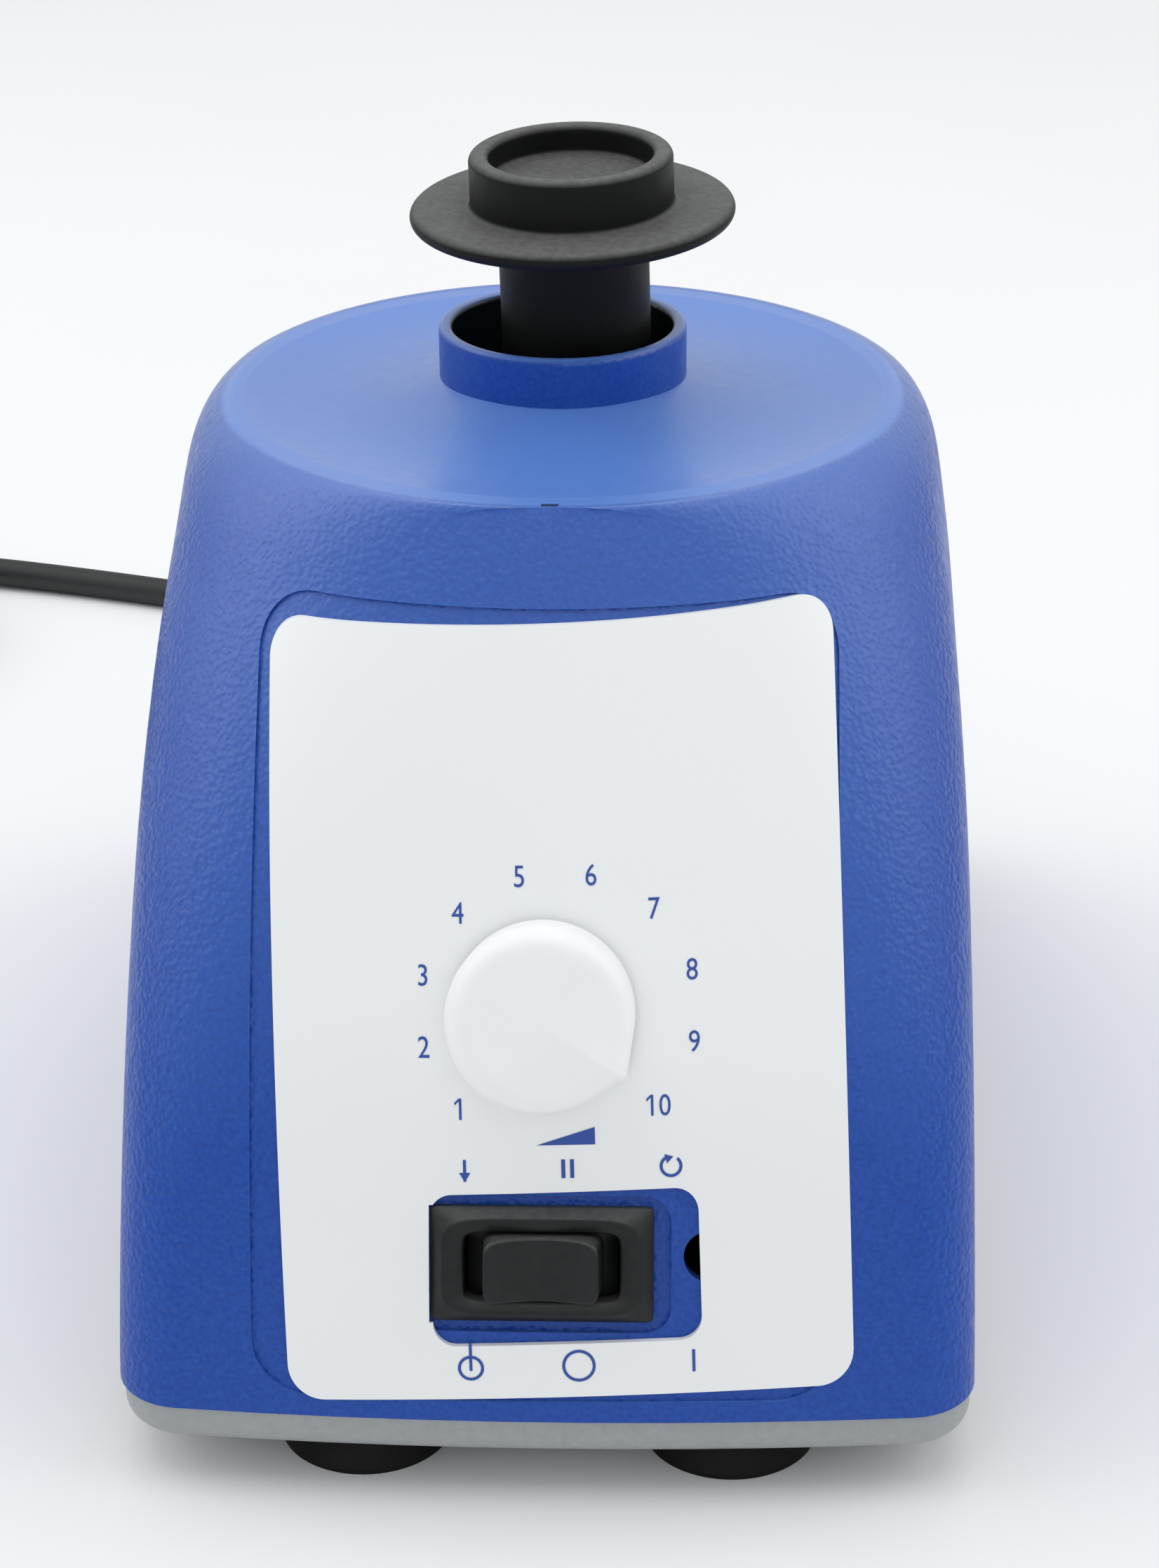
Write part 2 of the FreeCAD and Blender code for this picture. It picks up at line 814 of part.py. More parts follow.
def switch_rocker():
    """Saddle-backed paddle on a round keel about the pivot."""
    deep = opening_height - 2 * rocker_slip
    radius = opening_width / 2 - rocker_slip
    keel = Part.makeCylinder(radius, deep, V(0, -deep / 2, rocker_pivot), BACK)
    keel = keel.common(block(opening_width, opening_height, rocker_pivot - rocker_keel, rocker_shelf))
    half = rocker_face / 2
    low = rocker_shelf - 1.0
    saddle = Part.Arc(V(-half, -deep / 2, rocker_top), V(0, -deep / 2, rocker_top - rocker_dip),
                      V(half, -deep / 2, rocker_top)).toShape()
    sides = Part.makePolygon([V(half, -deep / 2, rocker_top), V(half + 0.6, -deep / 2, low),
                              V(-half - 0.6, -deep / 2, low), V(-half, -deep / 2, rocker_top)])
    paddle = Part.Face(Part.Wire([saddle] + sides.Edges)).extrude(V(0, deep, 0))
    crest = [e for e in paddle.Edges if e.BoundBox.ZMin > rocker_top - rocker_dip - 0.5]
    paddle = paddle.makeFillet(rocker_round, crest)
    return placed(fuse([keel, paddle]), skin_frame(switch_z))


def switch_terminals():
    low = -pocket_depth - switch_body_depth
    blades = [block(terminal_thick, terminal_width, low - terminal_length, low, k * terminal_pitch)
              for k in (-1, 0, 1)]
    return group([placed(b, skin_frame(switch_z)) for b in blades])


def bolt_spots():
    step = math.pi / 2
    return [(bolt_circle * math.cos(step * (k + 0.5)) * 1.22, bolt_circle * math.sin(step * (k + 0.5)) * 1.22)
            for k in range(4)]


def drilled(solid, spots, radius, low, high):
    for x, y in spots:
        solid = solid.cut(cyl(radius, low, high, x, y))
    return solid


def motor_plate():
    plate = block(plate_width, plate_length, plate_under, plate_top)
    plate = plate.cut(cyl(bush_radius + 2.0, plate_under - 1.0, plate_top + 1.0))
    plate = drilled(plate, four(post_span_x, post_span_y), screw_radius + screw_slip, plate_under - 1.0, plate_top + 1.0)
    return drilled(plate, bolt_spots(), bolt_radius + thread_slip, plate_under - 1.0, plate_top + 1.0)


def isolators():
    return group([ring(isolator_radius, screw_radius + screw_slip, plate_top, mount_end, x, y)
                  for x, y in four(post_span_x, post_span_y)])


def bell(disc_low, disc_high, skirt_low, skirt_high):
    """Motor end shield: a disc with a skirt that meets the stator."""
    solid = cyl(bell_radius, disc_low, disc_high)
    solid = solid.fuse(ring(bell_radius, bell_radius - bell_wall, skirt_low, skirt_high)).removeSplitter()
    solid = solid.cut(cyl(bush_radius + seat_slip, disc_low - 1.0, disc_high + 1.0))
    return drilled(solid, bolt_spots(), bolt_radius + screw_slip, skirt_low - bell_depth, skirt_high + bell_depth)


def upper_bell():
    return bell(plate_under - bell_disc, plate_under, stator_top, plate_under)


def lower_bell():
    return bell(bell_under, bell_under + bell_disc, bell_under, stator_under)


def stator_core():
    solid = ring(bell_radius, stator_bore, stator_under, stator_top)
    return drilled(solid, bolt_spots(), bolt_radius + screw_slip, stator_under - 1.0, stator_top + 1.0)


def windings():
    return group([ring(winding_outer - 2.0, winding_inner, stator_top, stator_top + winding_height),
                  ring(winding_outer - 2.0, winding_inner, stator_under - winding_height, stator_under)])


def bushes():
    upper = ring(bush_radius, shaft_radius + run_slip, plate_under - bell_disc - bush_over, plate_under)
    lower = ring(bush_radius, shaft_radius + run_slip, bell_under - bush_over, bell_under + bell_disc)
    return group([upper, lower])


def motor_bolts():
    return screws(bolt_spots(), bell_under, plate_top - bell_under, bolt_radius, bolt_head, bolt_head_height)


def rotor_core():
    radius = stator_bore - rotor_gap
    solid = cyl(radius, stator_under, stator_top)
    solid = solid.fuse(cyl(radius - rotor_ring, stator_under - rotor_ring, stator_top + rotor_ring)).removeSplitter()
    return solid.cut(cyl(shaft_radius + seat_slip, stator_under - 9.0, stator_top + 9.0))


def motor_shaft():
    return cyl(shaft_radius, shaft_end, bearing_under - 2.0)


def cooling_fan():
    low = fan_top - fan_height
    solid = fuse([cyl(fan_hub, low, fan_top), cyl(fan_radius, fan_top - fan_disc, fan_top)])
    for k in range(fan_blades):
        blade = block(fan_radius - fan_hub, fan_blade_thick, low, fan_top, (fan_radius + fan_hub) / 2 - 1.0)
        blade.rotate(V(0, 0, 0), UP, 360.0 * k / fan_blades)
        solid = solid.fuse(blade)
    return solid.removeSplitter().cut(cyl(shaft_radius + seat_slip, low - 1.0, fan_top + 1.0))


def eccentric_hub():
    neck = cyl(hub_neck, hub_under, hub_top - bearing_height - 1.0)
    cup = cyl(hub_radius, hub_top - bearing_height - 3.0, hub_top)
    solid = fuse([neck, cup])
    solid = solid.cut(cyl(shaft_radius + seat_slip, hub_under - 1.0, bearing_under - 2.0))
    solid = solid.cut(cyl(bearing_radius + seat_slip, bearing_under, hub_top + 1.0, head_x, head_y))
    low = hub_under + weight_height / 2
    screw = set_screw_shape(set_screw_radius + thread_slip, low, hub_neck + 1.0)
    return solid.cut(screw)


def set_screw_shape(radius, z, length):
    way = V(math.cos(orbit_angle), math.sin(orbit_angle), 0)
    start = way * (shaft_radius + seat_slip)
    return Part.makeCylinder(radius, length, V(start.x, start.y, z), way)


def hub_set_screw():
    return set_screw_shape(set_screw_radius, hub_under + weight_height / 2, set_screw_length)


def counterweight():
    """Half disc opposite the head, clamped round the hub neck."""
    solid = ring(weight_radius, hub_neck + seat_slip, hub_under, hub_under + weight_height)
    half = Part.makeBox(2 * weight_radius, weight_radius, 2 * weight_height,
                        V(-weight_radius, hub_neck / 4, hub_under - weight_height / 2))
    half.rotate(V(0, 0, 0), UP, math.degrees(orbit_angle) + 90.0)
    return solid.common(half)


def bearing_outer():
    return ring(bearing_radius, bearing_split + bearing_gap, bearing_under, hub_top, head_x, head_y)


def bearing_inner():
    return ring(bearing_split, bearing_bore + seat_slip, bearing_under + 0.3, hub_top, head_x, head_y)


def leaned(shape):
    """A head piece built upright, leaning as the rubber head does at rest."""
    way = V(-math.sin(lean_left), -math.sin(lean_front), 1.0)
    turn = FreeCAD.Rotation(UP, way)
    return placed(shape, FreeCAD.Placement(V(0, 0, 0), turn, V(head_x, head_y, lean_z)))


def head_spindle():
    foot_pin = cyl(bearing_bore, bearing_under + 0.3, lean_z, head_x, head_y)
    disc = cyl(spindle_flange, hub_top, lean_z, head_x, head_y)
    return fuse([foot_pin, disc, leaned(cyl(bearing_bore, lean_z - 1.0, spindle_top, head_x, head_y))])


def cup_head():
    floor = total_height - cup_depth
    bore = bearing_bore + seat_slip
    edge = flange_thick / 2
    nose = edge * (1.0 - math.sqrt(0.5))
    middle = (flange_edge_low + flange_edge_high) / 2
    solid = turned([
        (bore, stem_bottom), (stem_radius, stem_bottom), (stem_radius, flange_under),
        (flange_radius - edge, flange_edge_low), (flange_radius - nose, middle - edge + nose),
        (flange_radius, middle), (flange_radius - nose, middle + edge - nose), (flange_radius - edge, flange_edge_high),
        (cup_radius, flange_root), (cup_radius, total_height), (cup_bore, total_height),
        (cup_bore, floor), (0.0, floor), (0.0, spindle_top + 0.1), (bore, spindle_top + 0.1)], head_x, head_y)
    crown = [e for e in solid.Edges if e.BoundBox.ZMin > total_height - 0.1 and e.Closed]
    solid = solid.makeFillet(cup_lip, crown)
    return leaned(solid.makeFillet(cup_root_round, round_edges(solid, cup_radius, flange_root)))


def round_edges(solid, radius, z):
    """Round edges of a turned piece with the given radius and height."""
    found = []
    for edge in solid.Edges:
        box = edge.BoundBox
        if edge.Closed and abs(box.ZMax - z) < 0.05 and abs(box.XLength / 2 - radius) < 0.05:
            found.append(edge)
    return found


def thrust_plunger():
    solid = cyl(plunger_radius, plunger_end, shaft_end)
    crown = [e for e in solid.Edges if e.BoundBox.ZMin > shaft_end - 0.1 and e.Closed]
    return solid.makeChamfer(plunger_radius / 4, crown)


def plunger_guide():
    top = shaft_end - guide_top_drop
    solid = block(guide_width, guide_depth, floor_top, top)
    solid = solid.cut(cyl(plunger_radius + run_slip * 2, touch_top, top + 1.0))
    slot = block(touch_width + 2 * touch_slip, guide_depth * 2, touch_top - touch_height, touch_top)
    keep = block(touch_width + 2 * touch_slip, touch_thick + 2 * touch_slip, touch_top - touch_height, touch_top)
    keep = keep.fuse(block(touch_width + 2 * touch_slip, guide_depth, touch_top - touch_height, touch_top,
                           0.0, guide_depth / 2))
    return solid.cut(slot.common(keep))


def touch_switch():
    solid = block(touch_width, touch_thick, touch_top - touch_height, touch_top)
    return solid.cut(cyl(touch_button_radius + touch_slip, touch_top - touch_button_in - press_travel - 0.3, touch_top + 1.0))


def touch_button():
    return cyl(touch_button_radius, touch_top - touch_button_in, plunger_end)


def along_y(points):
    """Solid of revolution about the lead's exit line from (radius, y) points."""
    rim = [V(0, y, cord_exit_z + r) for r, y in points]
    face = Part.Face(Part.makePolygon(rim + rim[:1]))
    return face.revolve(V(0, 0, cord_exit_z), BACK, 360)


def strain_relief():
    grip = pad_face - boot_grip
    start = pad_face + boot_flange_thick
    solid = along_y([
        (0.0, grip - boot_flange_thick), (boot_flange, grip - boot_flange_thick), (boot_flange, grip),
        (boot_hole, grip), (boot_hole, pad_face), (boot_flange, pad_face), (boot_flange, start),
        (boot_root, start), (boot_tip, cord_end_y), (0.0, cord_end_y)])
    pitch = boot_length / (boot_grooves + 1)
    for k in range(boot_grooves):
        y = start + pitch * (k + 0.8)
        radius = boot_root + (boot_tip - boot_root) * (y - start) / boot_length
        tool = Part.makeCylinder(radius + 1.0, boot_groove_width, V(0, y, cord_exit_z), BACK)
        core = Part.makeCylinder(radius - boot_groove_depth, boot_groove_width, V(0, y, cord_exit_z), BACK)
        solid = solid.cut(tool.cut(core))
    return solid


def route_points():
    """Free stretch: out of the boot, down to the bench, round to the left and into the coil."""
    lay = cord_radius
    coil_y = coil_center_y + coil_outer
    return [
        V(0, cord_end_y, cord_exit_z),
        V(0, cord_end_y + first_run, cord_exit_z),
        V(-turn_x, cord_end_y + turn_run, lay),
        V(-pass_x, cord_end_y + turn_run + 1.0, lay),
        V(-view_x, view_y, lay),
        V((coil_center_x - view_x) / 2, coil_y, coil_lay),
        V(coil_center_x + 2 * cord_radius, coil_y, coil_lay)]


def rounded_route(points):
    """Straight runs joined by tangent arcs, and the least bend radius among them."""
    edges = []
    start = points[0]
    least = None
    for a, b, c in zip(points, points[1:], points[2:]):
        into, out = (b - a), (c - b)
        half = into.getAngle(out) / 2
        reach = arc_share * min(into.Length, out.Length)
        radius = reach / math.tan(half)
        least = radius if least is None else min(least, radius)
        into.normalize()
        out.normalize()
        p, q = b - into * reach, b + out * reach
        bisect = (out - into)
        bisect.normalize()
        middle = b + bisect * (radius / math.cos(half) - radius)
        edges += [Part.makeLine(start, p), Part.Arc(p, middle, q).toShape()]
        start = q
    edges.append(Part.makeLine(start, points[-1]))
    return edges, least


def tube(edges):
    spine = Part.Wire(edges)
    first = edges[0]
    start = first.valueAt(first.FirstParameter)
    way = first.tangentAt(first.FirstParameter)
    ring_edge = Part.Wire([Part.makeCircle(cord_radius, start, way)])
    solid = spine.makePipeShell([ring_edge], True, False)
    return solid, spine.Length


def coil_place(turn):
    """Centre line of the coil after a number of turns: in on the lower layer, out on the upper."""
    if turn <= coil_turns:
        radius, z = coil_outer - coil_pitch * turn, coil_lay
    elif turn <= coil_turns + 0.5:
        part = (turn - coil_turns) / 0.5
        radius = coil_inner - coil_pitch * part * (1.0 - part) / 2
        z = coil_lay + coil_pitch * (part - math.sin(2 * math.pi * part) / (2 * math.pi))
    else:
        radius, z = coil_inner + coil_pitch * (turn - coil_turns - 0.5), coil_lay + coil_pitch
    angle = math.pi / 2 + 2 * math.pi * turn
    return V(coil_center_x + radius * math.cos(angle), coil_center_y + radius * math.sin(angle), z)


def biarc(p, a, q, b):
    """Two tangent arcs from p along a to q along b."""
    v, t = q - p, a + b
    spread = 2.0 * (1.0 - a.dot(b))
    reach = (-v.dot(t) + math.sqrt(v.dot(t) ** 2 + spread * v.dot(v))) / spread
    one, two = p + a * reach, q - b * reach
    joint = (one + two) * 0.5
    return [arc_from(p, a, joint), arc_from(q, b * -1.0, joint)]


def arc_from(p, a, q):
    """Arc that leaves p along a and ends at q."""
    v = q - p
    side = v - a * v.dot(a)
    side.normalize()
    radius = v.dot(v) / (2.0 * v.dot(side))
    center = p + side * radius
    middle = (p + q) * 0.5 - center
    middle.normalize()
    return Part.Arc(p, center + middle * radius, q).toShape()


def coil_edges():
    total = 2 * coil_turns + 0.5
    count = int(round(total * 4))
    tiny = 1e-5
    knots = [total * k / count for k in range(count + 1)]
    spots = [coil_place(t) for t in knots]
    ways = []
    for k, t in enumerate(knots):
        way = coil_place(min(t + tiny, total)) - coil_place(max(t - tiny, 0.0))
        if k == 0:
            way = TAIL
        if k == count:
            way = TAIL
        way.normalize()
        ways.append(way)
    lead = 2 * cord_radius
    edges = [Part.makeLine(spots[0] - TAIL * lead, spots[0])]
    for k in range(count):
        one, two = biarc(spots[k], ways[k], spots[k + 1], ways[k + 1])
        edges += [one, two]
    edges.append(Part.makeLine(spots[-1], spots[-1] + TAIL * lead))
    return edges


def coil_gap():
    """Least clear gap between windings, measured on points of the centre line."""
    total = 2 * coil_turns + 0.5
    steps = int(total * 72)
    spots = [coil_place(total * k / steps) for k in range(steps + 1)]
    least = coil_outer
    for i in range(0, steps + 1):
        for j in range(i + 36, steps + 1):
            least = min(least, (spots[i] - spots[j]).Length)
    return least - 2 * cord_radius


def cord_lead():
    edges, least = rounded_route(route_points())
    solid, length = tube(edges)
    expected = math.pi * cord_radius ** 2 * length
    print("lead least bend", round(least, 1), "length", round(length, 1), "volume share", round(solid.Volume / expected, 4))
    return solid


def cord_coil():
    solid, length = tube(coil_edges())
    expected = math.pi * cord_radius ** 2 * length
    print("coil gap", round(coil_gap(), 2), "length", round(length, 1), "volume share", round(solid.Volume / expected, 4))
    return solid


def cord_tie():
    """Flat strap round the windings on the side of the coil away from its two ends."""
    half = tie_width / 2
    near = coil_inner - coil_pitch / 8 - cord_radius
    near -= half * half / (2 * near) + tie_slack
    far = coil_outer - coil_pitch / 2 + cord_radius + tie_slack
    low = coil_lay - cord_radius - tie_slack / 2
    high = coil_lay + coil_pitch + cord_radius + tie_slack / 2
    middle = coil_center_y - (near + far) / 2
    hole = strap_block(far - near, high - low, low, middle, cord_radius)
    thick = 2 * tie_thick
    strap = strap_block(far - near + thick, high - low + thick, low - tie_thick, middle, cord_radius + tie_thick)
    return strap.cut(hole)


def strap_block(depth, height, low, y, radius):
    solid = block(tie_width, depth, low, low + height, coil_center_x, y)
    along = [e for e in solid.Edges if abs(e.tangentAt(e.FirstParameter).x) > 0.9]
    return solid.makeFillet(radius, along)


def plug_start():
    end = coil_place(2 * coil_turns + 0.5)
    return end + TAIL * (2 * cord_radius)


def plug_body():
    p = plug_start()
    neck = Part.makeCone(cord_radius + plug_neck_step, plug_neck_radius, plug_neck, p, TAIL)
    box = Part.makeBox(plug_length, 2 * plug_half_width, 2 * plug_half_height,
                       V(p.x - plug_neck - plug_length, p.y - plug_half_width, p.z - plug_half_height))
    along = [e for e in box.Edges if abs(e.tangentAt(e.FirstParameter).x) > 0.9]
    return fuse([neck, box.makeFillet(plug_round, along)])


def plug_blades():
    p = plug_start()
    face = p.x - plug_neck - plug_length
    blades = []
    for side in (-1, 1):
        y = p.y + side * blade_apart / 2 - blade_thick / 2
        blades.append(Part.makeBox(blade_length, blade_thick, blade_width,
                                   V(face - blade_length, y, p.z + earth_drop / 2 - blade_width / 2)))
    blades.append(Part.makeCylinder(earth_radius, earth_length, V(face, p.y, p.z - earth_drop), TAIL))
    return group(blades)


os.makedirs("parts", exist_ok=True)
shell = housing_shell()
export("housing_shell", shell)
export("front_label", front_label(shell))
export("base_plate", base_plate())
for name, (x, y) in zip(("rear_left", "rear_right", "front_left", "front_right"),
                        [(-foot_x, foot_y), (foot_x, foot_y), (-foot_x, -foot_y), (foot_x, -foot_y)]):
    export("foot_" + name, foot(x, y))
export("foot_screws", screws(four(foot_x, foot_y), foot_seat, foot_screw_length))
export("base_screws", screws(four(boss_x, boss_y), base_bottom, base_screw_length, screw_radius, screw_head,
                             base_screw_head_height))
export("speed_knob", speed_knob())
export("pot_shaft", pot_shaft())
export("pot_body", pot_body())
export("pot_nut", pot_nut())
export("control_board", control_board())
export("board_screws", board_screws())
export("heat_sink", heat_sink())
export("filter_capacitor", filter_capacitor())
export("terminal_block", terminal_block())
export("switch_frame", switch_frame())
export("switch_rocker", switch_rocker())
export("switch_terminals", switch_terminals())
export("motor_plate", motor_plate())
export("isolators", isolators())
export("mount_screws", screws(four(post_span_x, post_span_y), plate_under, mount_screw_length))
export("upper_bell", upper_bell())
export("lower_bell", lower_bell())
export("stator_core", stator_core())
export("windings", windings())
export("bushes", bushes())
export("motor_bolts", motor_bolts())
export("rotor_core", rotor_core())
export("motor_shaft", motor_shaft())
export("cooling_fan", cooling_fan())
export("eccentric_hub", eccentric_hub())
export("hub_set_screw", hub_set_screw())
export("counterweight", counterweight())
export("bearing_outer", bearing_outer())
export("bearing_inner", bearing_inner())
export("head_spindle", head_spindle())
export("cup_head", cup_head())
export("thrust_plunger", thrust_plunger())
export("plunger_guide", plunger_guide())
export("touch_switch", touch_switch())
export("touch_button", touch_button())
export("strain_relief", strain_relief())
export("cord_lead", cord_lead())
export("cord_coil", cord_coil())
export("cord_tie", cord_tie())
export("plug_body", plug_body())
export("plug_blades", plug_blades())
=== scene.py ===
# %% [markdown]
# # A bench vortex mixer
# A laboratory mixer shakes a tube by moving a rubber cup in a small circle. The solid model gives its
# shape and its motions. This lesson dresses that model: it sets the camera, lays the mains lead, prints
# the dial and gives each piece a finish made of shader nodes.

import math

import bpy
import numpy as np
from mathutils import Matrix, Vector


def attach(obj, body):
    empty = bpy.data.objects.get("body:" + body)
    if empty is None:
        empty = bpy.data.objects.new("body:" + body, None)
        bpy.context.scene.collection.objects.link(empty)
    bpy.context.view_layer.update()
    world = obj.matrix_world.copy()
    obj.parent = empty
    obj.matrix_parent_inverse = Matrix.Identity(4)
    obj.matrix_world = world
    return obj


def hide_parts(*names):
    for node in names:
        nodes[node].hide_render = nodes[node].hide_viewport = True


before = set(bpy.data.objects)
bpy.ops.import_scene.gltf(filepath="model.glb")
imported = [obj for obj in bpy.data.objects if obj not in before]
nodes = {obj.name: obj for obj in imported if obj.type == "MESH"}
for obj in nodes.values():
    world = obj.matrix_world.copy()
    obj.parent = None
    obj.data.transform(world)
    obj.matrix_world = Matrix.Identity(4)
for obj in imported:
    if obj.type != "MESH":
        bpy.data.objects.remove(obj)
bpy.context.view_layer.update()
MM = 0.001
print("pieces from the solid model:", len(nodes))

# %% [markdown]
# ## Camera
# The picture was taken close and from above. Its focal length, place and turn were fitted to measured
# outlines, so they are given here as plain values. A camera looks along its own -Z, so its three axes are
# worked out as columns of a matrix.

# %% Place the camera
PICTURE_HEIGHT = 2235
FOCAL_PIXELS = 5000.54
SENSOR_MM = 36.0
NEAREST = 10.0 * MM
CAMERA_TILT = math.radians(25.3)
CAMERA_TURN = math.radians(2.188)
CAMERA_ROLL = math.radians(-0.511)
CAMERA_PLACE = Vector((21.254, -506.0, 300.2)) * MM


def camera_axes(turn, tilt, roll):
    """Columns right, up and back of a camera that looks down by tilt and is rolled about its own line."""
    back = Vector((math.sin(turn) * math.cos(tilt), -math.cos(turn) * math.cos(tilt), math.sin(tilt)))
    level = (-back).cross(Vector((0, 0, 1))).normalized()
    lift = level.cross(-back)
    right = level * math.cos(roll) + lift * math.sin(roll)
    up = lift * math.cos(roll) - level * math.sin(roll)
    return Matrix((right, up, back)).transposed()


eye = bpy.data.cameras.new("eye")
eye.sensor_fit = "VERTICAL"
eye.sensor_height = SENSOR_MM
eye.lens = FOCAL_PIXELS * SENSOR_MM / PICTURE_HEIGHT
eye.clip_start = NEAREST
camera = bpy.data.objects.new("camera", eye)
bpy.context.collection.objects.link(camera)
camera_turn = camera_axes(CAMERA_TURN, CAMERA_TILT, CAMERA_ROLL).to_4x4()
camera.matrix_world = Matrix.Translation(CAMERA_PLACE) @ camera_turn
bpy.context.scene.camera = camera
print("lens", round(eye.lens, 2), "mm")

# %% [markdown]
# ## Mains lead
# The lead leaves the rubber boot at the back, drops to the bench and passes the left edge of the picture.
# The rest is wound into a flat coil of two layers and tied. One smooth spline follows the whole route: the
# free stretch is a few points, and the coil is a formula with many points to a turn.

# %% Lay the lead
CORD_RADIUS = 3.1 * MM
BOOT_TIP = (0.0, 138.5 * MM, 22.0 * MM)
TIE_LIFT = 0.725 * MM
COIL_LAY = CORD_RADIUS + TIE_LIFT
COIL_CENTER = (-192.0 * MM, 190.0 * MM)
COIL_OUTER = 46.2 * MM
COIL_PITCH = 7.1 * MM
COIL_TURNS = 3.25
CHANGE_TURNS = 0.5
POINTS_PER_TURN = 20
LEAD_POINTS = np.array([
    BOOT_TIP,
    (0.0, 171.5 * MM, 22.0 * MM),
    (-20.0 * MM, 209.5 * MM, CORD_RADIUS),
    (-68.0 * MM, 210.5 * MM, CORD_RADIUS),
    (-126.0 * MM, 230.0 * MM, CORD_RADIUS),
    (-159.0 * MM, 236.2 * MM, COIL_LAY)])


def coil_points():
    """Spiral in on the lower layer, a half turn up, then the same spiral out on the upper layer."""
    total = 2 * COIL_TURNS + CHANGE_TURNS
    turn = np.linspace(0.0, total, int(total * POINTS_PER_TURN) + 1)
    inner = COIL_OUTER - COIL_PITCH * COIL_TURNS
    part = np.clip((turn - COIL_TURNS) / CHANGE_TURNS, 0.0, 1.0)
    change = inner - COIL_PITCH * part * (1.0 - part) / 2
    inward = COIL_OUTER - COIL_PITCH * turn
    outward = inner + COIL_PITCH * (turn - COIL_TURNS - CHANGE_TURNS)
    radius = np.where(part <= 0.0, inward, np.where(part >= 1.0, outward, change))
    height = COIL_LAY + COIL_PITCH * (part - np.sin(2 * np.pi * part) / (2 * np.pi))
    angle = np.pi / 2 + 2 * np.pi * turn
    x = COIL_CENTER[0] + radius * np.cos(angle)
    y = COIL_CENTER[1] + radius * np.sin(angle)
    return np.stack([x, y, height], axis=1)


coil = coil_points()
tail = coil[-1:] + np.array([[-2 * CORD_RADIUS, 0.0, 0.0]])
route = np.concatenate([LEAD_POINTS, coil, tail])
line = bpy.data.curves.new("mains_lead", "CURVE")
line.dimensions = "3D"
line.bevel_depth = 1.0
line.bevel_resolution = 5
line.resolution_u = 5
line.use_fill_caps = True
spline = line.splines.new("NURBS")
spline.points.add(len(route) - 1)
spline.points.foreach_set("co", np.c_[route, np.ones(len(route))].ravel())
spline.points.foreach_set("radius", np.full(len(route), CORD_RADIUS))
spline.order_u = 3
spline.use_endpoint_u = True
lead = bpy.data.objects.new("mains_lead", line)
bpy.context.collection.objects.link(lead)
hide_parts("cord_lead", "cord_coil")
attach(lead, "stand")
print("lead points", len(route))

# %% [markdown]
# ## Dial and marks
# Printed ink is a skin too thin to model in the solid model, so it is laid here as flat figures bent onto
# the label. A figure is drawn in the plane first: x across, and s up the slope from the knob's height. The
# panel's side view is a parabola whose slope grows to the rim, and its top view is an arc that tightens to
# the rim. Both come as formulas, so every point of a figure is placed at once. The numbers are set with the
# built-in letter shapes and turned into faces.

# %% Print the dial
SEAM_Z = 13.0 * MM
WALL_RISE = 115.5 * MM
SEAM_FRONT = -105.5 * MM
FRONT_RUN = 51.2 * MM
UPRIGHT_SHARE = 0.48
BOW_SEAM = 590.0 * MM
BOW_RIM = 66.0 * MM
BOW_POWER = 3.6
KNOB_Z = 68.0 * MM
PANEL_STEPS = 400
INK_LIFT = 0.07 * MM
RAY_START = 20.0 * MM
DIAL_CENTER = (2.07 * MM, 0.26 * MM)
DIAL_RADIUS = 19.06 * MM
DIAL_START = math.radians(-135.8)
DIAL_STEP = math.radians(29.8)
DIAL_COUNT = 10
NUMBER_HEIGHT = 2.95 * MM
NUMBER_NARROW = 0.83
FLAG_REACH = 0.25
FLAG_FALL = 0.2
FLAG_THICK = 0.13
LABEL_SKEW = math.radians(1.6)


def front_line(z):
    """Side view of the panel: y = front + run * (k u + (1 - k) u^2), u the share of the height."""
    u = (z - SEAM_Z) / WALL_RISE
    return SEAM_FRONT + FRONT_RUN * (UPRIGHT_SHARE * u + (1.0 - UPRIGHT_SHARE) * u * u)


def panel_point(x, s):
    """Points of the panel for x across and s along the slope, with an arc R(z) in the top view."""
    z = np.linspace(SEAM_Z, SEAM_Z + WALL_RISE, PANEL_STEPS)
    way = np.concatenate([[0.0], np.cumsum(np.hypot(np.diff(z), np.diff(front_line(z))))])
    high = np.interp(s + np.interp(KNOB_Z, z, way), way, z)
    u = (high - SEAM_Z) / WALL_RISE
    bow = 1.0 / (1.0 / BOW_SEAM + (1.0 / BOW_RIM - 1.0 / BOW_SEAM) * u ** BOW_POWER)
    return np.stack([x, front_line(high) + bow - np.sqrt(bow * bow - x * x), high], axis=1)


def on_label(points):
    """Moves a patch of panel points along Y so that its middle lies just above the label film."""
    film = nodes["front_label"]
    into = film.matrix_world.inverted()
    middle = points.mean(axis=0)
    start = into @ Vector((middle[0], middle[1] - RAY_START, middle[2]))
    found, place, _, _ = film.ray_cast(start, into.to_3x3() @ Vector((0, 1, 0)))
    level = (film.matrix_world @ place).y if found else middle[1]
    return points + np.array([0.0, level - middle[1] - INK_LIFT, 0.0])


